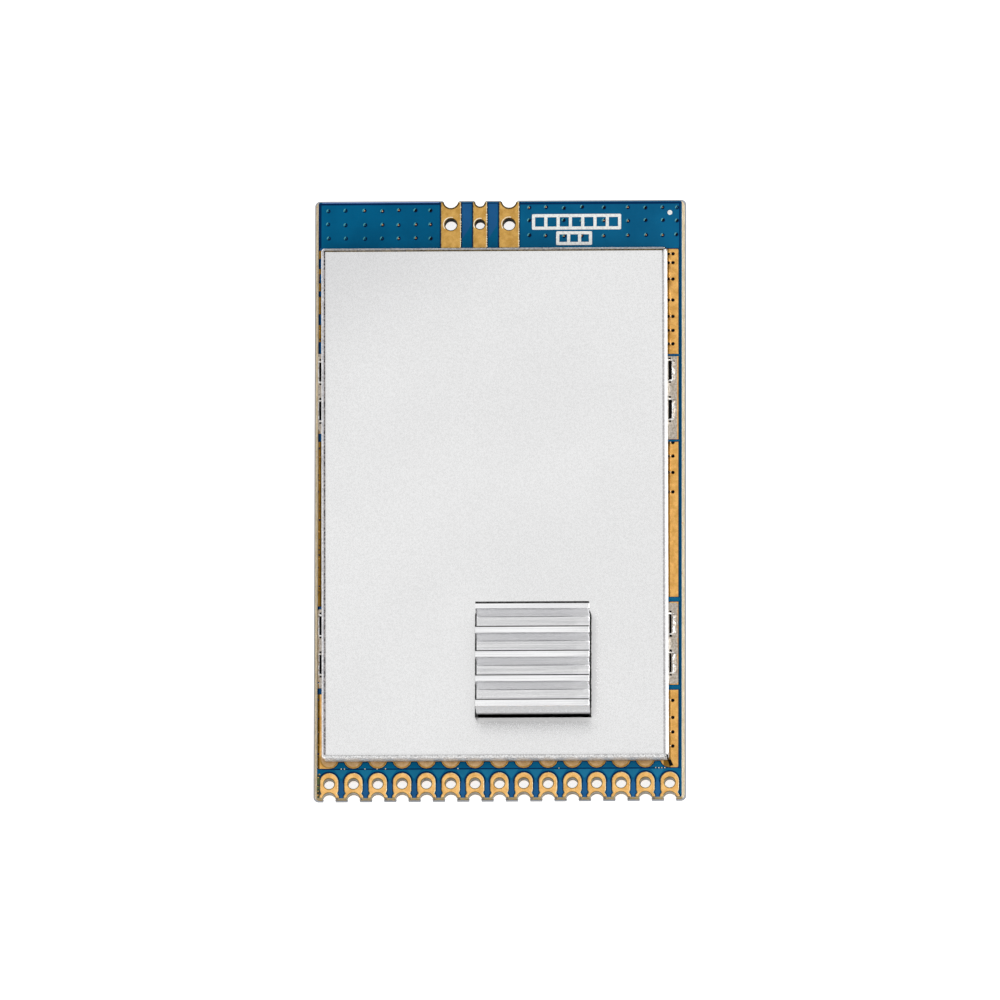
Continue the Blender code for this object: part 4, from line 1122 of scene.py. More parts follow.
def between_pads(left_pad, right_pad):
    """Where no copper lies between two pads of the row: a waisted strip with a pointed top."""
    middle = (left_pad.x + right_pad.x) / 2
    edge = left_pad.edge
    half = (PAD_PITCH - PAD_WIDTH) / 2 - STRIP_MARGIN
    widths = [(v, half + change) for v, change in STRIP_SIDE] + [STRIP_TOP]
    right_side = [(middle + width, edge + v) for v, width in widths]
    left_side = [(middle - width, edge + v) for v, width in reversed(widths)]
    return right_side + left_side


def wedge_between(left_pad, right_pad):
    """The brighter wedge over the strip, where the film lies flat on copper and is lighter with painted
    light.
    """
    middle = (left_pad.x + right_pad.x) / 2
    low, high = left_pad.edge + WEDGE_LOW, left_pad.edge + WEDGE_HIGH
    return [(middle, low), (middle + WEDGE_HALF, high), (middle - WEDGE_HALF, high)]


def mask_height(x, y):
    """The film's top: lower over bare laminate round the pads, and sloping down at its openings."""
    near_pad = min(pad.distance(x, y) for pad in ALL_PADS)
    near_ring = ring_distance(x, y) - MASK_LIP[0]
    low, high = MASK_LIP
    moat = limited((MOAT_GROW + MOAT_SLOPE - near_pad) / MOAT_SLOPE)
    on_dam = near_ring < 0 and abs(x) < MASK_HALF_WIDTH
    lip = 0.0 if on_dam else limited((high - min(near_pad, near_ring)) / (high - low))
    return BOARD_TOP - MOAT_DEPTH * moat - MASK_LIP_DROP * lip


# Lines where the copper below the film ends, as nearest and farthest distances from an edge
ANTENNA_LINE = (0.07, 0.24)
LEFT_LINE = (0.20, 2.0)
ROW_LINE_Y = (-22.64, -22.54)
ROW_LINE_INSET = (0.4, 0.9)
RIGHT_LINE = (0.10, 0.23)
LINE_END = 0.1
DEEP_LINE = (0.02, 0.22)
DEEP_END = 0.9
ABOVE_RING = 0.2
ANTENNA_GROW = 0.03
# Bare laminate between antenna pads, a painted highlight along the left part of the antenna edge, and a
# scratch down to the copper
BARE_GAP_LOW = (21.9, 23.0)
BARE_GAP_TOP = 0.15
BARE_GAP_LEFT = (0.06, 0.04)
BARE_GAP_RIGHT = (0.10, 0.05)
EDGE_HIGHLIGHT_LEFT = 0.3
EDGE_HIGHLIGHT_RIGHT = 1.0
EDGE_HIGHLIGHT_SPAN = (0.005, 0.06)
SCRATCH_X = (-9.75, -8.02)
SCRATCH_Y = (0.08, 0.17)


def make_mask():
    """The upper film, with the copper's edges showing through it as darker lines."""
    finishes = [MASK_OVER_COPPER, MASK_OVER_LAMINATE, MASK_NAVY, MASK_EDGE_HIGHLIGHT]
    finishes += [GOLD, MASK_BRIGHT, MASK_DEEP, CHIPPED]
    copper, laminate, navy, edge_highlight, scratch, bright, deep, chipped = range(len(finishes))
    side, edge = MASK_HALF_WIDTH, BOARD_HALF_LENGTH
    low, high = MASK_LIP
    above_ring = RING_TOP_Y + ABOVE_RING
    lines = [
        rectangle(-side, side, edge - ANTENNA_LINE[1], edge - ANTENNA_LINE[0]),
        rectangle(-side, RING_LEFT + LEFT_LINE[0], RING_TOP_Y - LEFT_LINE[1], edge - LINE_END),
        rectangle(RING_LEFT + ROW_LINE_INSET[0], RING_RIGHT - ROW_LINE_INSET[1], *ROW_LINE_Y),
        rectangle(side - RIGHT_LINE[1], side - RIGHT_LINE[0], above_ring, edge - LINE_END),
    ]
    lines += [pad.bite(MOAT_GROW + MOAT_SLOPE) for pad in ROW_PADS]
    lines += [pad.bite(MOAT_GROW) for pad in ROW_PADS]
    lines += [pad.bite(high + ANTENNA_GROW) for pad in ANTENNA_PADS.values()]
    areas = [(outline, navy) for outline in [*lines, ring_outline(high)]]
    deep_line = [RING_RIGHT + distance for distance in DEEP_LINE]
    areas.append((rectangle(*deep_line, SCALLOP_Y - DEEP_END, above_ring), deep))
    areas += [(dam_face(*dam), copper if dam[0] > 0 else laminate) for dam in DAMS]
    row_pairs = list(zip(ROW_PADS, ROW_PADS[1:]))
    areas += [(between_pads(*pair), laminate) for pair in row_pairs]
    areas += [(wedge_between(*pair), bright) for pair in row_pairs]
    pads = list(ANTENNA_PADS.values())
    top = edge - BARE_GAP_TOP
    for first, second in zip(pads, pads[1:]):
        left = first.x + first.width / 2 + high
        right = second.x - second.width / 2 - high
        lower = [(left + BARE_GAP_LEFT[0], BARE_GAP_LOW[0]), (right - BARE_GAP_RIGHT[0], BARE_GAP_LOW[1])]
        upper = [(right - BARE_GAP_RIGHT[1], top), (left + BARE_GAP_LEFT[1], top)]
        areas.append((lower + upper, laminate))
    areas += [
        # Painted highlight along the antenna edge
        (rectangle(EDGE_HIGHLIGHT_LEFT - side, pads[0].x - EDGE_HIGHLIGHT_RIGHT, edge - EDGE_HIGHLIGHT_SPAN[1], edge - EDGE_HIGHLIGHT_SPAN[0]), edge_highlight),
        (rectangle(*SCRATCH_X, RING_TOP_Y + SCRATCH_Y[0], RING_TOP_Y + SCRATCH_Y[1]), scratch),
        (rectangle(-side, -side + CHIPPED_WIDTH, -edge, -edge + CHIPPED_LENGTH), chipped),
    ]
    shape = Shape()
    shape.sheet(
        rounded_rectangle(-side, side, -edge, edge, BOARD_CORNER / 2),
        mask_height,
        SKIN_BOTTOM,
        holes=[pad.bite(low) for pad in ALL_PADS] + [ring_outline(low)],
        bridges=[dam_outline(*dam) for dam in DAMS],
        areas=areas,
    )
    add_piece("blue_film_top", shape, finishes, ["solder_mask_top"], smooth=20)


# Tented vias

LEFT_VIA_X = (-14.16, -12.73, -11.16, -9.72, -8.35, -6.97, -5.76)
LEFT_VIA_Y = (24.30, 23.12, 21.95)
RIGHT_VIA_X = (2.39, 3.76, 5.25, 6.75, 8.58, 10.57, 12.01, 13.42, 14.57)
RIGHT_VIA_Y = (24.48, 23.38, 22.13)
TENT_RADIUS = 0.145
TENT_WANDER_X = 0.04
TENT_WANDER_Y = 0.05
# Each ring's share of the radius and its rise over the film
TENT_RINGS = ((1.25, -0.004), (1.05, 0.014), (0.86, 0.016), (0.62, 0.004), (0.35, -0.002))
TENT_RIM_BANDS = 2
HIGHLIGHT_BANDS = 3
HIGHLIGHT_TURNS = (0.22, 0.62)
COPPER_SHARE = 0.60


def tented_places():
    """Vias in rows over both ends of the antenna edge, each a little off its row, with a random share."""
    chance = random.Random(7)
    places = []
    for columns, rows in ((LEFT_VIA_X, LEFT_VIA_Y), (RIGHT_VIA_X, RIGHT_VIA_Y)):
        for row in rows:
            for column in columns:
                x = column + chance.uniform(-TENT_WANDER_X, TENT_WANDER_X)
                y = row + chance.uniform(-TENT_WANDER_Y, TENT_WANDER_Y)
                places.append((x, y, chance.random()))
    return places


def make_tented_vias():
    """Each via: a raised rim with a painted highlight on its upper left, and a dimple painted black as shade,
    some with bare copper.
    """
    finishes = [MASK_NAVY, TENT_HIGHLIGHT, COPPER_SPOT, HOLE_SHADE_BLACK]
    navy, pale, copper, black = range(len(finishes))
    shape = Shape()
    for x, y, chance in tented_places():
        rows = []
        for share, rise in TENT_RINGS:
            points = circle(x, y, TENT_RADIUS * share, VIA_SIDES)
            rows.append([(px, py, BOARD_TOP + rise) for px, py in points])
        for number, (upper, lower) in enumerate(zip(rows, rows[1:])):
            for side in range(VIA_SIDES):
                after = (side + 1) % VIA_SIDES
                turn = (side + 0.5) / VIA_SIDES
                # Painted shade: the dimple is black, and painted highlight: the upper left is pale
                finish = navy if number < TENT_RIM_BANDS else black
                if HIGHLIGHT_TURNS[0] < turn < HIGHLIGHT_TURNS[1] and number < HIGHLIGHT_BANDS:
                    finish = pale
                shape.face([upper[side], upper[after], lower[after], lower[side]], finish)
        shape.face(rows[-1], copper if chance < COPPER_SHARE else black)
    add_piece("tented_vias", shape, finishes, smooth=60, outward=False)


# Silkscreen

STROKE = 0.26
INK_RISE = 0.02
INK_CORNER = 0.1
# Each row's left end, lower side, width, height and number of boxes
BOX_ROWS = ((2.75, 22.75, 7.10, 1.05, 7), (4.75, 21.45, 2.70, 0.90, 3))
# The dot's centre, radius and number of sides
DOT = (14.0, 24.02, 0.2, 24)


def make_silkscreen():
    """A white dot by the corner and two rows of empty boxes."""
    shape = Shape()
    half = STROKE / 2
    for left, low, width, height, count in BOX_ROWS:
        right, high = left + width + half, low + height + half
        pitch = width / count
        cells = []
        for index in range(count):
            cell_left = left + pitch * index + half
            cells.append(rectangle(cell_left, cell_left + pitch - STROKE, low + half, low + height - half))
        outer = rounded_rectangle(left - half, right, low - half, high, INK_CORNER)
        shape.sheet(outer, lambda x, y: BOARD_TOP + INK_RISE, BOARD_TOP, holes=cells)
    shape.slab(circle(*DOT), BOARD_TOP, BOARD_TOP + INK_RISE)
    add_piece("white_markings", shape, [INK], smooth=20)


# Shield can

def bend_profile(start):
    """A bend's section as (outwards, down) pairs: a shallow dip before it, the quarter turn, and the wall."""
    profile = [(-start, 0.0), (-start / 2, CREASE_DEPTH), (0.0, BEND_DEPTH)]
    for step in range(1, BEND_STEPS + 1):
        turn = math.radians(90 * step / BEND_STEPS)
        dip = BEND_DEPTH * max(0.0, 1 - step / BEND_DIP_STEPS)
        profile.append((CAN_BEND * math.sin(turn), CAN_BEND * (1 - math.cos(turn)) + dip))
    return profile + [(CAN_BEND, CAN_WALL / 2), (CAN_BEND, CAN_WALL)]


def make_can():
    """The folded sheet: a flat top, four creased bends and walls with legs, and slit corners."""
    # The bends, creases and walls take painted shade, and the right wall and two corners a painted highlight
    finishes = [TINNED, SHADED_SHEET, CREASE_SHADE, SOFT_CREASE_SHADE, SHADED_WALL, BEND_HIGHLIGHT, WARM_CREASE_SHADE]
    flat, bend, crease, soft, wall, bright, warm = range(len(finishes))
    shape = Shape()
    left, right = CAN_LOW.x + CAN_BEND, CAN_HIGH.x - CAN_BEND
    low, high = CAN_LOW.y + CAN_BEND, CAN_HIGH.y - CAN_BEND
    top = CAN_HIGH.z
    columns = steps_between(left, right, WALL_STEP)
    rows = with_leg_edges(steps_between(low, high, WALL_STEP))
    inner_columns = [min(max(x, left + CREASE_LEFT), right - CREASE_RIGHT) for x in columns]
    inner_rows = [min(max(y, low + CREASE_SOUTH), high - CREASE_NORTH) for y in rows]
    shape.band([[(x, y, top) for x in inner_columns] for y in inner_rows], closed=False)
    # Each side's axis, points, place and direction, its crease's reach and finishes, and its wall's finish
    sides = (
        ("y", rows, inner_rows, left, -1, CREASE_LEFT, (crease, crease, crease), bend),
        ("y", rows, inner_rows, right, 1, CREASE_RIGHT, (soft, soft), bright),
        ("x", columns, inner_columns, low, -1, CREASE_SOUTH, (flat, flat, soft), wall),
        ("x", columns, inner_columns, high, 1, CREASE_NORTH, (warm, warm, warm), soft),
    )
    for along, points, inner_points, start, outward, reach, first_finishes, finish in sides:
        strip = []
        for number, (out, down) in enumerate(bend_profile(reach)):
            places = points if number else inner_points
            strip.append([wall_point(along, at, start, outward, out, top - down, number) for at in places])
        for number in range(len(strip) - 1):
            mark = first_finishes[number] if number < len(first_finishes) else finish
            shape.band(strip[number:number + 2], closed=False, finish=mark)
        if along == "y":
            add_legs(shape, strip[-1], bend)
    for x, y, turn, upper, lower, slit in (
        (left, high, 90, bend, bend, False),
        (left, low, 180, bright, bright, False),
        (right, low, 270, soft, wall, True),
        (right, high, 0, warm, bright, True),
    ):
        add_corner(shape, x, y, turn, upper, lower, slit)
    shape.corners = [(x - CAN_SKEW * y, y, z) for x, y, z in shape.corners]
    piece = add_piece("folded_can", shape, finishes, ["shield_can"], smooth=50)
    sheet = piece.modifiers.new("sheet", "SOLIDIFY")
    sheet.thickness = SHEET * MM
    sheet.offset = -1.0


def wall_point(along, place, start, outward, out, z, number):
    """A point of a bend or wall, with the slight waves that folding leaves."""
    limit = CAN_HIGH.y if along == "y" else CAN_HIGH.x
    calm = limited((limit - CAN_BEND - abs(place)) / CALM_REACH)
    wave = 0.0
    if number >= CREASE_POINTS:
        wave = WALL_WAVE * calm * ripple(place, number * WAVE_SHIFT, outward, size=WAVE_SIZE)
    across = start + outward * (out + wave)
    return (across, place, z) if along == "y" else (place, across, z)


def add_corner(shape, x, y, turn, upper, lower, slit):
    """The bend carried round a corner, with a slit in the wall below it, and in two corners' bends too."""
    rows = []
    for out, down in bend_profile(CREASE_LEFT)[CREASE_POINTS - 1:]:
        points = arc(x, y, out, turn, turn + 90, CORNER_STEPS)
        rows.append([(px, py, CAN_HIGH.z - down) for px, py in points])
    whole = ((0, CORNER_STEPS + 1),)
    slit_parts = ((0, SLIT_START), (SLIT_END, CORNER_STEPS + 1))
    for number in range(len(rows) - 1):
        in_wall = number >= BEND_STEPS - SLIT_STEPS
        in_lower_bend = number >= CORNER_UPPER_ROWS
        for first, last in slit_parts if in_wall or (slit and in_lower_bend) else whole:
            part = [row[first:last] for row in rows[number:number + 2]]
            shape.band(part, closed=False, finish=lower if in_lower_bend else upper)


# Painted shade inside the two slit corners
SLIT_SHADE_GAP = 0.02
SLIT_SHADE_SIDES = 16
SLIT_SHADE_DROP = 0.09
# The painted shade that runs out of the near slit, as points from the can's corner
CORNER_SHADE = ((-0.14, 0.04), (0.12, 0.08), (0.34, -0.42), (0.05, -0.48))
CORNER_SHADE_SUNK = 0.01
CORNER_SHADE_RISE = 0.05


def make_corner_marks():
    """Painted shade: black inside the can's two slit corners, and a patch that runs out of the near one."""
    shape = Shape()
    for y in (CAN_LOW.y + CAN_BEND, CAN_HIGH.y - CAN_BEND):
        slit_shade = circle(CAN_HIGH.x - CAN_BEND - CAN_SKEW * y, y, CAN_BEND - SLIT_SHADE_GAP, SLIT_SHADE_SIDES)
        shape.slab(slit_shade, RING_TOP, CAN_HIGH.z - SLIT_SHADE_DROP)
    x, y = CAN_HIGH.x - CAN_SKEW * CAN_LOW.y, CAN_LOW.y
    outline = [(x + out, y + along) for out, along in CORNER_SHADE]
    shape.slab(outline, RING_TOP - CORNER_SHADE_SUNK, BOARD_TOP + CORNER_SHADE_RISE)
    add_piece("painted_corner_slit_shade", shape, [HOLE_SHADE_BLACK])


CRUMB_HEIGHT = 0.03
CRUMB_COUNT = 90
CRUMB_Y = (-24.6, 19.5)
CRUMB_OUT = (0.01, 0.13)
CRUMB_RADIUS = (0.03, 0.075)
CHIP_COUNT = 26
CHIP_INSET = 0.05
CHIP_FROM_EDGE = 0.1
CHIP_RADIUS = (0.03, 0.07)


def make_edge_crumbs():
    """Crumbs of film and bare gold along the ring's outer edge on the left, and more beside the first pad."""
    shape = Shape()
    chance = random.Random(11)
    for _ in range(CRUMB_COUNT):
        y = chance.uniform(*CRUMB_Y)
        x = RING_LEFT + chance.uniform(*CRUMB_OUT)
        shape.dome(x, y, RING_TOP, chance.uniform(*CRUMB_RADIUS), CRUMB_HEIGHT, chance.choice((0, 0, 1, 2)))
    for _ in range(CHIP_COUNT):
        y = -BOARD_HALF_LENGTH + chance.uniform(CHIP_FROM_EDGE, CHIPPED_LENGTH)
        x = -MASK_HALF_WIDTH + chance.uniform(CHIP_INSET, CHIPPED_WIDTH)
        shape.dome(x, y, BOARD_TOP, chance.uniform(*CHIP_RADIUS), CRUMB_HEIGHT, chance.choice((0, 1, 2)))
    add_piece("edge_crumbs", shape, [MASK_NAVY, GOLD, BROWN_BLACK])


def with_leg_edges(rows):
    """The rows along a long side, with one at each edge of each leg."""
    edges = [y + side * LEG_WIDTH / 2 for y in LEG_CENTRES for side in (-1, 1)]
    kept = [y for y in rows if min(abs(y - edge) for edge in edges) > WALL_STEP / 4]
    return sorted(kept + edges)


def add_legs(shape, rim, finish):
    """The legs, carried straight down from the wall's lower rim."""
    for middle in LEG_CENTRES:
        upper = [point for point in rim if abs(point[1] - middle) < LEG_WIDTH / 2 + MERGE_DISTANCE]
        lower = [(x, y, z - LEG_REACH) for x, y, z in upper]
        shape.band([upper, lower], closed=False, finish=finish)


# Solder along the legs

ZONE_INSET = 0.02
SOLDER_UNDER = 0.002
SOLDER_SKIN = 0.006
SOLDER_EDGE = 0.012
SOLDER_RAGGED = 0.10
SOLDER_LUMPS = 0.35
LUMP_SIZE = 0.7
EDGE_REACH = 0.10
BEAD_FROM_SLOT = 0.05
BEAD_REACH = 0.13
BEAD_RAGGED = 0.22
RIDGE_HEIGHT = 0.10
RIDGE_FROM_SLOT = 0.10
RIDGE_WIDTH = 0.11
FILLET_HEIGHT = 0.13
FILLET_SHARE = 0.55
SLOT_FADE = 0.12
OPEN_FROM = 0.06
OPEN_GAP = 0.05
LIP_GAP = 0.06
LIP_REACH = 0.1
# Painted shade: black patches just beyond the slots' ends
SLOT_END_SHADE_GAP = (-0.24, -0.08)
SLOT_END_SHADE_OUT = (0.04, 0.24)


def make_solder():
    """Four fillets: a bead outside each leg slot, and a thin wash of tin round it."""
    sides = (("left", CAN_LOW.x, -1, SOLDER_REACH_LEFT), ("right", CAN_HIGH.x, 1, SOLDER_REACH_RIGHT))
    for side, wall, outward, reach in sides:
        for number, middle in enumerate(SOLDER_PAIRS, 1):
            add_solder(f"{side}_{number}", wall, outward, reach, middle)


def add_solder(name, wall, outward, reach, middle):
    finishes = [SOLDER, TIN_WASH, HOLE_SHADE_BLACK]
    solder, wash, black = range(len(finishes))
    shape = Shape()
    slot_end = min(SLOT_OUT, reach * 0.5) + BEAD_FROM_SLOT
    zones = [zone for zone in TIN_ZONES if zone[0] == outward]
    _, zone_low, zone_high = min(zones, key=lambda zone: abs((zone[1] + zone[2]) / 2 - middle))
    columns = steps_between(0.0, reach, SOLDER_STEP)
    low = max(middle - SOLDER_HALF, zone_low) + ZONE_INSET
    high = min(middle + SOLDER_HALF, zone_high) - ZONE_INSET
    rows = steps_between(low, high, SOLDER_STEP)
    legs = [y for y in LEG_CENTRES if abs(y - middle) < SOLDER_HALF]

    def leg_gap(y):
        """How far inside a slot's length a place is, or less than zero outside it."""
        return LEG_WIDTH / 2 + SLOT_END - min(abs(y - leg) for leg in legs)

    corners = []
    for y in rows:
        for out in columns:
            ragged = out * (1 + SOLDER_RAGGED * ripple(y, 2.0, middle, size=0.5))
            rise = solder_rise(out, reach, slot_end, y, middle, leg_gap(y))
            corners.append((wall - CAN_SKEW * y + outward * ragged, y, RING_TOP + rise))
    faces = []
    marks = []
    width = len(columns)
    for row in range(len(rows) - 1):
        y = (rows[row] + rows[row + 1]) / 2
        gap = leg_gap(y)
        for column in range(width - 1):
            out = (columns[column] + columns[column + 1]) / 2
            in_slot = gap > OPEN_GAP
            if in_slot and OPEN_FROM < out < slot_end:
                continue
            here = row * width + column
            faces.append((here, here + 1, here + width + 1, here + width))
            bead_end = slot_end + BEAD_REACH + BEAD_RAGGED * ripple(y, 3.0, middle, size=0.3)
            bead = in_slot and slot_end <= out < bead_end
            lip = abs(gap) < LIP_GAP and out < slot_end + LIP_REACH and ripple(out, y, 7.0, size=0.13) > -0.2
            # Painted shade: black beyond each slot's end
            slot_end_shade = SLOT_END_SHADE_GAP[0] < gap < SLOT_END_SHADE_GAP[1] and SLOT_END_SHADE_OUT[0] < out < SLOT_END_SHADE_OUT[1]
            marks.append(black if slot_end_shade else solder if bead or lip else wash)
    under = len(corners)
    rims = rim_edges(faces)
    corners += [(x, y, RING_TOP + SOLDER_UNDER) for x, y, _ in corners]
    below = [tuple(under + index for index in reversed(face)) for face in faces]
    walls = [(here + under, there + under, there, here) for here, there in rims]
    shape.mesh_of(corners, faces + below + walls, marks + [wash] * (len(below) + len(walls)))
    add_piece(f"solder_fillet_{name}", shape, finishes, [f"solder_joint_{name}"], smooth=60)


def solder_rise(out, reach, slot_end, y, middle, gap):
    """The height over the ring: a bead outside the slots, and a fillet against the wall elsewhere."""
    ends = max(0.0, 1 - (abs(y - middle) / SOLDER_HALF) ** 8)
    lumps = 1 + SOLDER_LUMPS * ripple(out * 0.5, y, middle, size=LUMP_SIZE)
    share = limited(gap / SLOT_FADE)
    bead = RIDGE_HEIGHT * math.exp(-(((out - slot_end - RIDGE_FROM_SLOT) / RIDGE_WIDTH) ** 2))
    fillet = FILLET_HEIGHT * max(0.0, 1 - out / (reach * FILLET_SHARE)) ** 2
    edge = min(1.0, (reach - out) / EDGE_REACH)
    return SOLDER_SKIN + (share * bead + (1 - share) * fillet + SOLDER_EDGE * edge) * lumps * ends


def make_slot_shade():
    """Black in the leg slots, just over the board's core, as painted shade."""
    shape = Shape()
    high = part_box("circuit_board")[1].z / MM + SLOT_SHADE_RISE
    for outline in leg_slots():
        shape.slab(outline, SLOT_SHADE_LOW, high)
    add_piece("slot_shade", shape, [HOLE_SHADE_BLACK])


# Heatsink and its adhesive

def make_heatsink():
    """The extrusion: fins longer than the base, a burr on each crest painted dark as shade, and a lower edge
    that darkens towards the bottom.
    """
    finishes = [ALUMINIUM_SHADED, ALUMINIUM_SIDE, ALUMINIUM_CREST_SHADED, CREST_EDGE_SHADE, LOWER_BAND]
    floor_mark, side_mark, crest_mark, crest_shade_mark, lower_band_mark = range(len(finishes))
    floor = SINK_LOW.z + HEATSINK_BASE
    tip = SINK_HIGH.z
    root, crest = FIN_ROOT / 2, FIN_TIP / 2
    profile = [(-SINK_HALF_Y, SINK_LOW.z), (SINK_HALF_Y, SINK_LOW.z)]
    marks = [floor_mark, side_mark]
    for index in reversed(range(FIN_COUNT)):
        y = (index - (FIN_COUNT - 1) / 2) * FIN_PITCH
        if index < FIN_COUNT - 1:
            foot = arc(y + root + FIN_FILLET, floor + FIN_FILLET, FIN_FILLET, 270, 180, FILLET_STEPS)
            profile += foot
            marks += [side_mark] * len(foot)
        overlap = END_OVERLAP if index == FIN_COUNT - 1 else BURR_OVERLAP
        # Painted shade: the burr on the crest's north edge is dark
        burr = arc(y + crest + BURR_REACH - FIN_CREST, tip - FIN_CREST, FIN_CREST, 0, 90, CREST_STEPS)
        profile += [(y + crest, tip - 3 * FIN_CREST), *burr, (y + crest - overlap, tip)]
        marks += [crest_shade_mark] * (len(burr) + 1) + [crest_mark]
        crown = arc(y - crest + FIN_CREST, tip - FIN_CREST, FIN_CREST, 90, 180, CREST_STEPS)
        profile += crown
        marks += [crest_mark] * (len(crown) - 1) + [side_mark]
        if index > 0:
            foot = arc(y - root - FIN_FILLET, floor + FIN_FILLET, FIN_FILLET, 360, 270, FILLET_STEPS)
            profile += foot
            marks += [side_mark] * (len(foot) - 1) + [floor_mark]
    profile.append((-SINK_HALF_Y, SINK_LOW.z + LOWER_BAND_HEIGHT))
    marks.append(lower_band_mark)

    def station(side, back, drop):
        def place(u, v):
            inset = BASE_INSET if side > 0 and v < floor + FIN_FILLET else 0.0
            return (SINK_X + side * (SINK_HALF_X - inset - back), SINK_Y + u, v - drop)

        return place

    shape = Shape()
    stations = [station(-1, 0.0, 0.0), station(1, END_BEVEL, 0.0), station(1, 0.0, END_DROP)]
    shape.extrusion(profile, stations, marks)
    add_piece("finned_heatsink", shape, finishes, ["heatsink"], smooth=40)


# The collar's least width and ragged part, for the left side, the near and far sides, and the right side
COLLAR_WIDTHS = {-1: (0.21, 0.05), 0: (-0.06, 0.05), 1: (0.06, 0.07)}
COLLAR_SAG = 0.12
COLLAR_FOOT = 0.08
COLLAR_SHOULDER = 0.04
# How far the collar stands out at each level, from its foot up
COLLAR_BULGE = (1.10, 1.15, 0.90, 0.60)
LAYER_GAP = 0.005


def make_adhesive():
    """A thin layer and an uneven collar squeezed up round the heatsink's base."""
    half_x, half_y = SINK_HALF_X - BASE_INSET, SINK_HALF_Y
    along_x = steps_between(-half_x, half_x, COLLAR_STEP)
    along_y = steps_between(-half_y, half_y, COLLAR_STEP)
    path = [(x, -half_y, 0, -1) for x in along_x[:-1]]
    path += [(half_x, y, 1, 0) for y in along_y[:-1]]
    path += [(x, half_y, 0, 1) for x in along_x[:0:-1]]
    path += [(-half_x, y, -1, 0) for y in along_y[:0:-1]]
    rows = [[] for _ in range(6)]
    for x, y, out_x, out_y in path:
        least, ragged = COLLAR_WIDTHS[out_x]
        wide = least + ragged * (0.5 + 0.5 * ripple(x, y, 5.0, size=0.16))
        tall = GLUE_HIGH.z - COLLAR_SAG * (1 - ripple(x, y, 11.0, size=0.3))
        heights = (GLUE_LOW.z, GLUE_LOW.z + COLLAR_FOOT, (GLUE_LOW.z + tall) / 2, tall - COLLAR_SHOULDER)
        places = [(0.0, GLUE_LOW.z)]
        places += [(wide * share, z) for share, z in zip(COLLAR_BULGE, heights)]
        places.append((0.0, tall))
        for row, (out, z) in zip(rows, places):
            row.append((SINK_X + x + out_x * out, SINK_Y + y + out_y * out, z))
    shape = Shape()
    shape.band([*rows, rows[0]])
    layer = rectangle(SINK_X - half_x, SINK_X + half_x, SINK_Y - half_y, SINK_Y + half_y)
    shape.slab(layer, GLUE_LOW.z, SINK_LOW.z - LAYER_GAP)
    add_piece("adhesive_collar", shape, [ADHESIVE], ["thermal_adhesive"], smooth=50)


# Finishes of the CAD nodes that stay

# The slots that the can hides: each finish's name, tones, grain per millimetre, roughness and metal
HIDDEN = {
    "moulded_black": ("moulded_package", (0.010, 0.010, 0.011), (0.030, 0.030, 0.032), 9.0, 0.5),
    "ceramic": ("ceramic_body", (0.30, 0.20, 0.12), (0.50, 0.38, 0.26), 6.0, 0.45),
    "lidded_ceramic": ("plated_lid", (0.55, 0.52, 0.46), (0.80, 0.77, 0.70), 5.0, 0.32, 0.7),
    "ferrite": ("pressed_ferrite", (0.05, 0.05, 0.055), (0.12, 0.12, 0.13), 12.0, 0.6),
    "thermal_pad": ("thermal_pad_grey", (0.36, 0.42, 0.48), (0.50, 0.56, 0.60), 4.0, 0.8),
}


def dress_nodes():
    kept = {slot: simple_finish(*row) for slot, row in HIDDEN.items()}
    kept.update(fibreglass=LAMINATE, blue_mask=MASK_OVER_COPPER)
    slots = {}
    for entry in frame["record"]["materials"]:
        for node in entry.get("nodes", []):
            slots[node] = entry["slot"]
    for name, node in frame["nodes"].items():
        slot = slots.get(name) or node.data.materials[0].name
        if slot in kept:
            for number in range(len(node.data.materials)):
                node.data.materials[number] = kept[slot]


# Floor, lights and camera

FLOOR_HALF = 2500.0
FLOOR_DROP = 0.05
FLOOR_GLOW = 0.85
SHADOW_FROM = (-0.12, -0.08)
SHADOW_TO = (0.10, 0.17)
SHADOW_SHIFT = 0.11
NOTCH_FADE = (-0.10, -0.02)
ANTENNA_FADE = (0.02, 0.10)
NOTCH_LEAN = 0.04


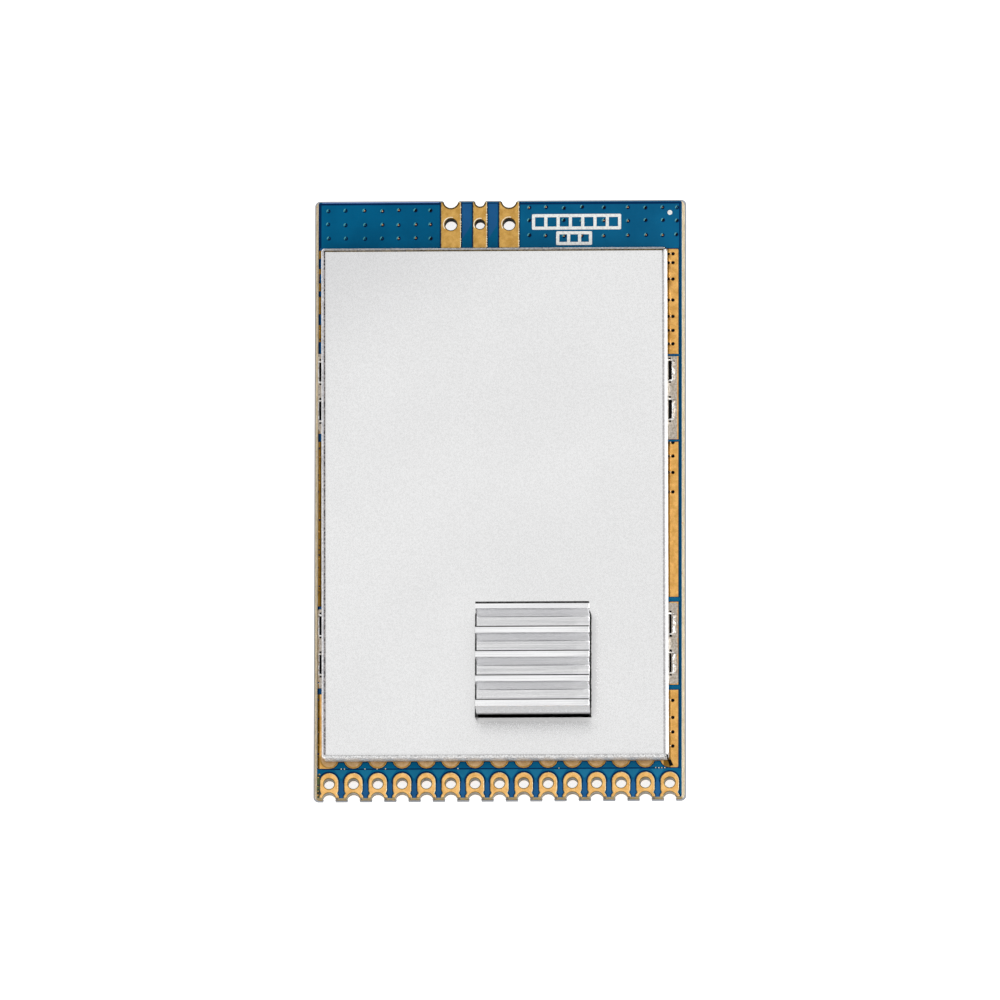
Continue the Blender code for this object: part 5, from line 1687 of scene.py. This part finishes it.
def make_floor():
    """A white floor with a narrow contact shadow round the board and none inside its half holes."""
    corners = [(x * FLOOR_HALF, y * FLOOR_HALF, -FLOOR_DROP) for x, y in ((-1, -1), (1, -1), (1, 1), (-1, 1))]
    mesh = bpy.data.meshes.new("floor")
    mesh.from_pydata([Vector(corner) * MM for corner in corners], [], [(0, 1, 2, 3)])
    made = Finish("pale_floor", roughness=0.9, specular=0.0)
    half_x = BOARD_HALF_WIDTH - BOARD_CORNER
    half_y = BOARD_HALF_LENGTH + SHADOW_SHIFT - BOARD_CORNER
    outside = made.length(made.beyond("X", 0.0, half_x), made.beyond("Y", SHADOW_SHIFT, half_y))
    begun = made.range(outside, *[BOARD_CORNER + reach for reach in SHADOW_FROM])
    ended = made.range(outside, *[BOARD_CORNER + reach for reach in SHADOW_TO])
    near = made.math("SUBTRACT", begun, ended)
    radius, depth = PAD_NOTCH
    across = made.math("PINGPONG", made.axis("X"), PAD_PITCH / 2)
    notches = [(across, depth - radius - BOARD_HALF_LENGTH, radius, NOTCH_FADE)]
    for pad in ANTENNA_PADS.values():
        across = made.math("SUBTRACT", made.axis("X"), pad.x - NOTCH_LEAN)
        middle_y = BOARD_HALF_LENGTH + 2 * SHADOW_SHIFT + pad.notch_radius - pad.notch_depth
        notches.append((across, middle_y, pad.notch_radius, ANTENNA_FADE))
    for across, middle_y, radius, fade in notches:
        from_middle = made.length(across, made.math("SUBTRACT", made.axis("Y"), middle_y))
        near = made.math("MULTIPLY", near, made.range(from_middle, radius + fade[0], radius + fade[1]))
    cloud = made.range(made.noise(0.004, 1.0), 0.3, 0.7)
    tone = made.mix(near, made.mix(cloud, (0.90, 0.90, 0.90), (0.93, 0.93, 0.93)), (0.22, 0.23, 0.25))
    made.colour(tone)
    made.link(tone, made.shader.inputs["Emission Color"])
    made.shader.inputs["Emission Strength"].default_value = FLOOR_GLOW
    mesh.materials.append(made.material)
    floor = bpy.data.objects.new("floor", mesh)
    bpy.context.scene.collection.objects.link(floor)


# Each soft box's place and size in metres, and its radiance
SOFT_BOXES = {
    "overhead_box": ((0.10, 0.45, 2.7), (2.6, 2.2), 0.25),
    "right_box": ((1.9, -0.3, 0.9), (1.3, 1.8), 3.0),
    "front_box": ((0.2, -2.0, 0.75), (2.4, 1.1), 0.9),
}
STUDIO_HEIGHTS = (0.20, 0.70)
WALL_GLOW = 0.35
CEILING_GLOW = 0.75


def add_light(name, place, size, radiance):
    """A soft box with a given brightness, facing the part."""
    data = bpy.data.lights.new(name, "AREA")
    data.shape = "RECTANGLE"
    data.size, data.size_y = size
    data.energy = radiance * math.pi * size[0] * size[1]
    light = bpy.data.objects.new(name, data)
    bpy.context.scene.collection.objects.link(light)
    light.location = place
    light.rotation_mode = "QUATERNION"
    light.rotation_quaternion = (-Vector(place)).to_track_quat("-Z", "Y")


def make_lights():
    """A studio with a bright ceiling and dim walls, a soft box overhead and a stronger one on the right."""
    world = bpy.data.worlds.new("studio")
    world.use_nodes = True
    nodes = world.node_tree.nodes
    links = world.node_tree.links
    direction = nodes.new("ShaderNodeTexCoord").outputs["Generated"]
    parts = nodes.new("ShaderNodeSeparateXYZ")
    links.new(direction, parts.inputs[0])
    height = nodes.new("ShaderNodeMapRange")
    height.interpolation_type = "SMOOTHSTEP"
    limits = (*STUDIO_HEIGHTS, WALL_GLOW, CEILING_GLOW)
    for name, number in zip(("From Min", "From Max", "To Min", "To Max"), limits):
        height.inputs[name].default_value = number
    links.new(parts.outputs["Z"], height.inputs["Value"])
    nodes["Background"].inputs["Color"].default_value = (1.0, 1.0, 1.0, 1.0)
    links.new(height.outputs["Result"], nodes["Background"].inputs["Strength"])
    bpy.context.scene.world = world
    for name, (place, size, radiance) in SOFT_BOXES.items():
        add_light(name, place, size, radiance)


LENS = 1000.0
SENSOR_WIDTH = 36.0
FRAME_WIDTH = 0.08231
VIEW_DIRECTION = (0.034, -0.20, 1.0)
BOARD_UP = (-0.0016, 1.0, 0.0)
VIEW_TARGET = (0.02, -0.09, 1.2)
CLIP = (0.1, 10.0)


def make_camera():
    """A long lens, tilted a little so that the near walls show."""
    data = bpy.data.cameras.new("camera")
    data.lens = LENS
    data.sensor_width = SENSOR_WIDTH
    data.clip_start, data.clip_end = CLIP
    direction = Vector(VIEW_DIRECTION).normalized()
    across = Vector(BOARD_UP).cross(direction).normalized()
    turn = Matrix((across, direction.cross(across), direction)).transposed()
    camera = bpy.data.objects.new("camera", data)
    bpy.context.scene.collection.objects.link(camera)
    camera.location = Vector(VIEW_TARGET) * MM + direction * (FRAME_WIDTH * LENS / SENSOR_WIDTH)
    camera.rotation_mode = "QUATERNION"
    camera.rotation_quaternion = turn.to_quaternion()
    bpy.context.scene.camera = camera


# Build

make_camera()
make_lights()
make_floor()
dress_nodes()
make_mask()
make_ring()
make_pads()
make_can()
make_solder()
make_slot_shade()
make_heatsink()
make_adhesive()
make_tented_vias()
make_silkscreen()
make_glints()
make_notch_shade()
make_corner_marks()
make_edge_crumbs()

bpy.context.scene.view_settings.view_transform = "Standard"
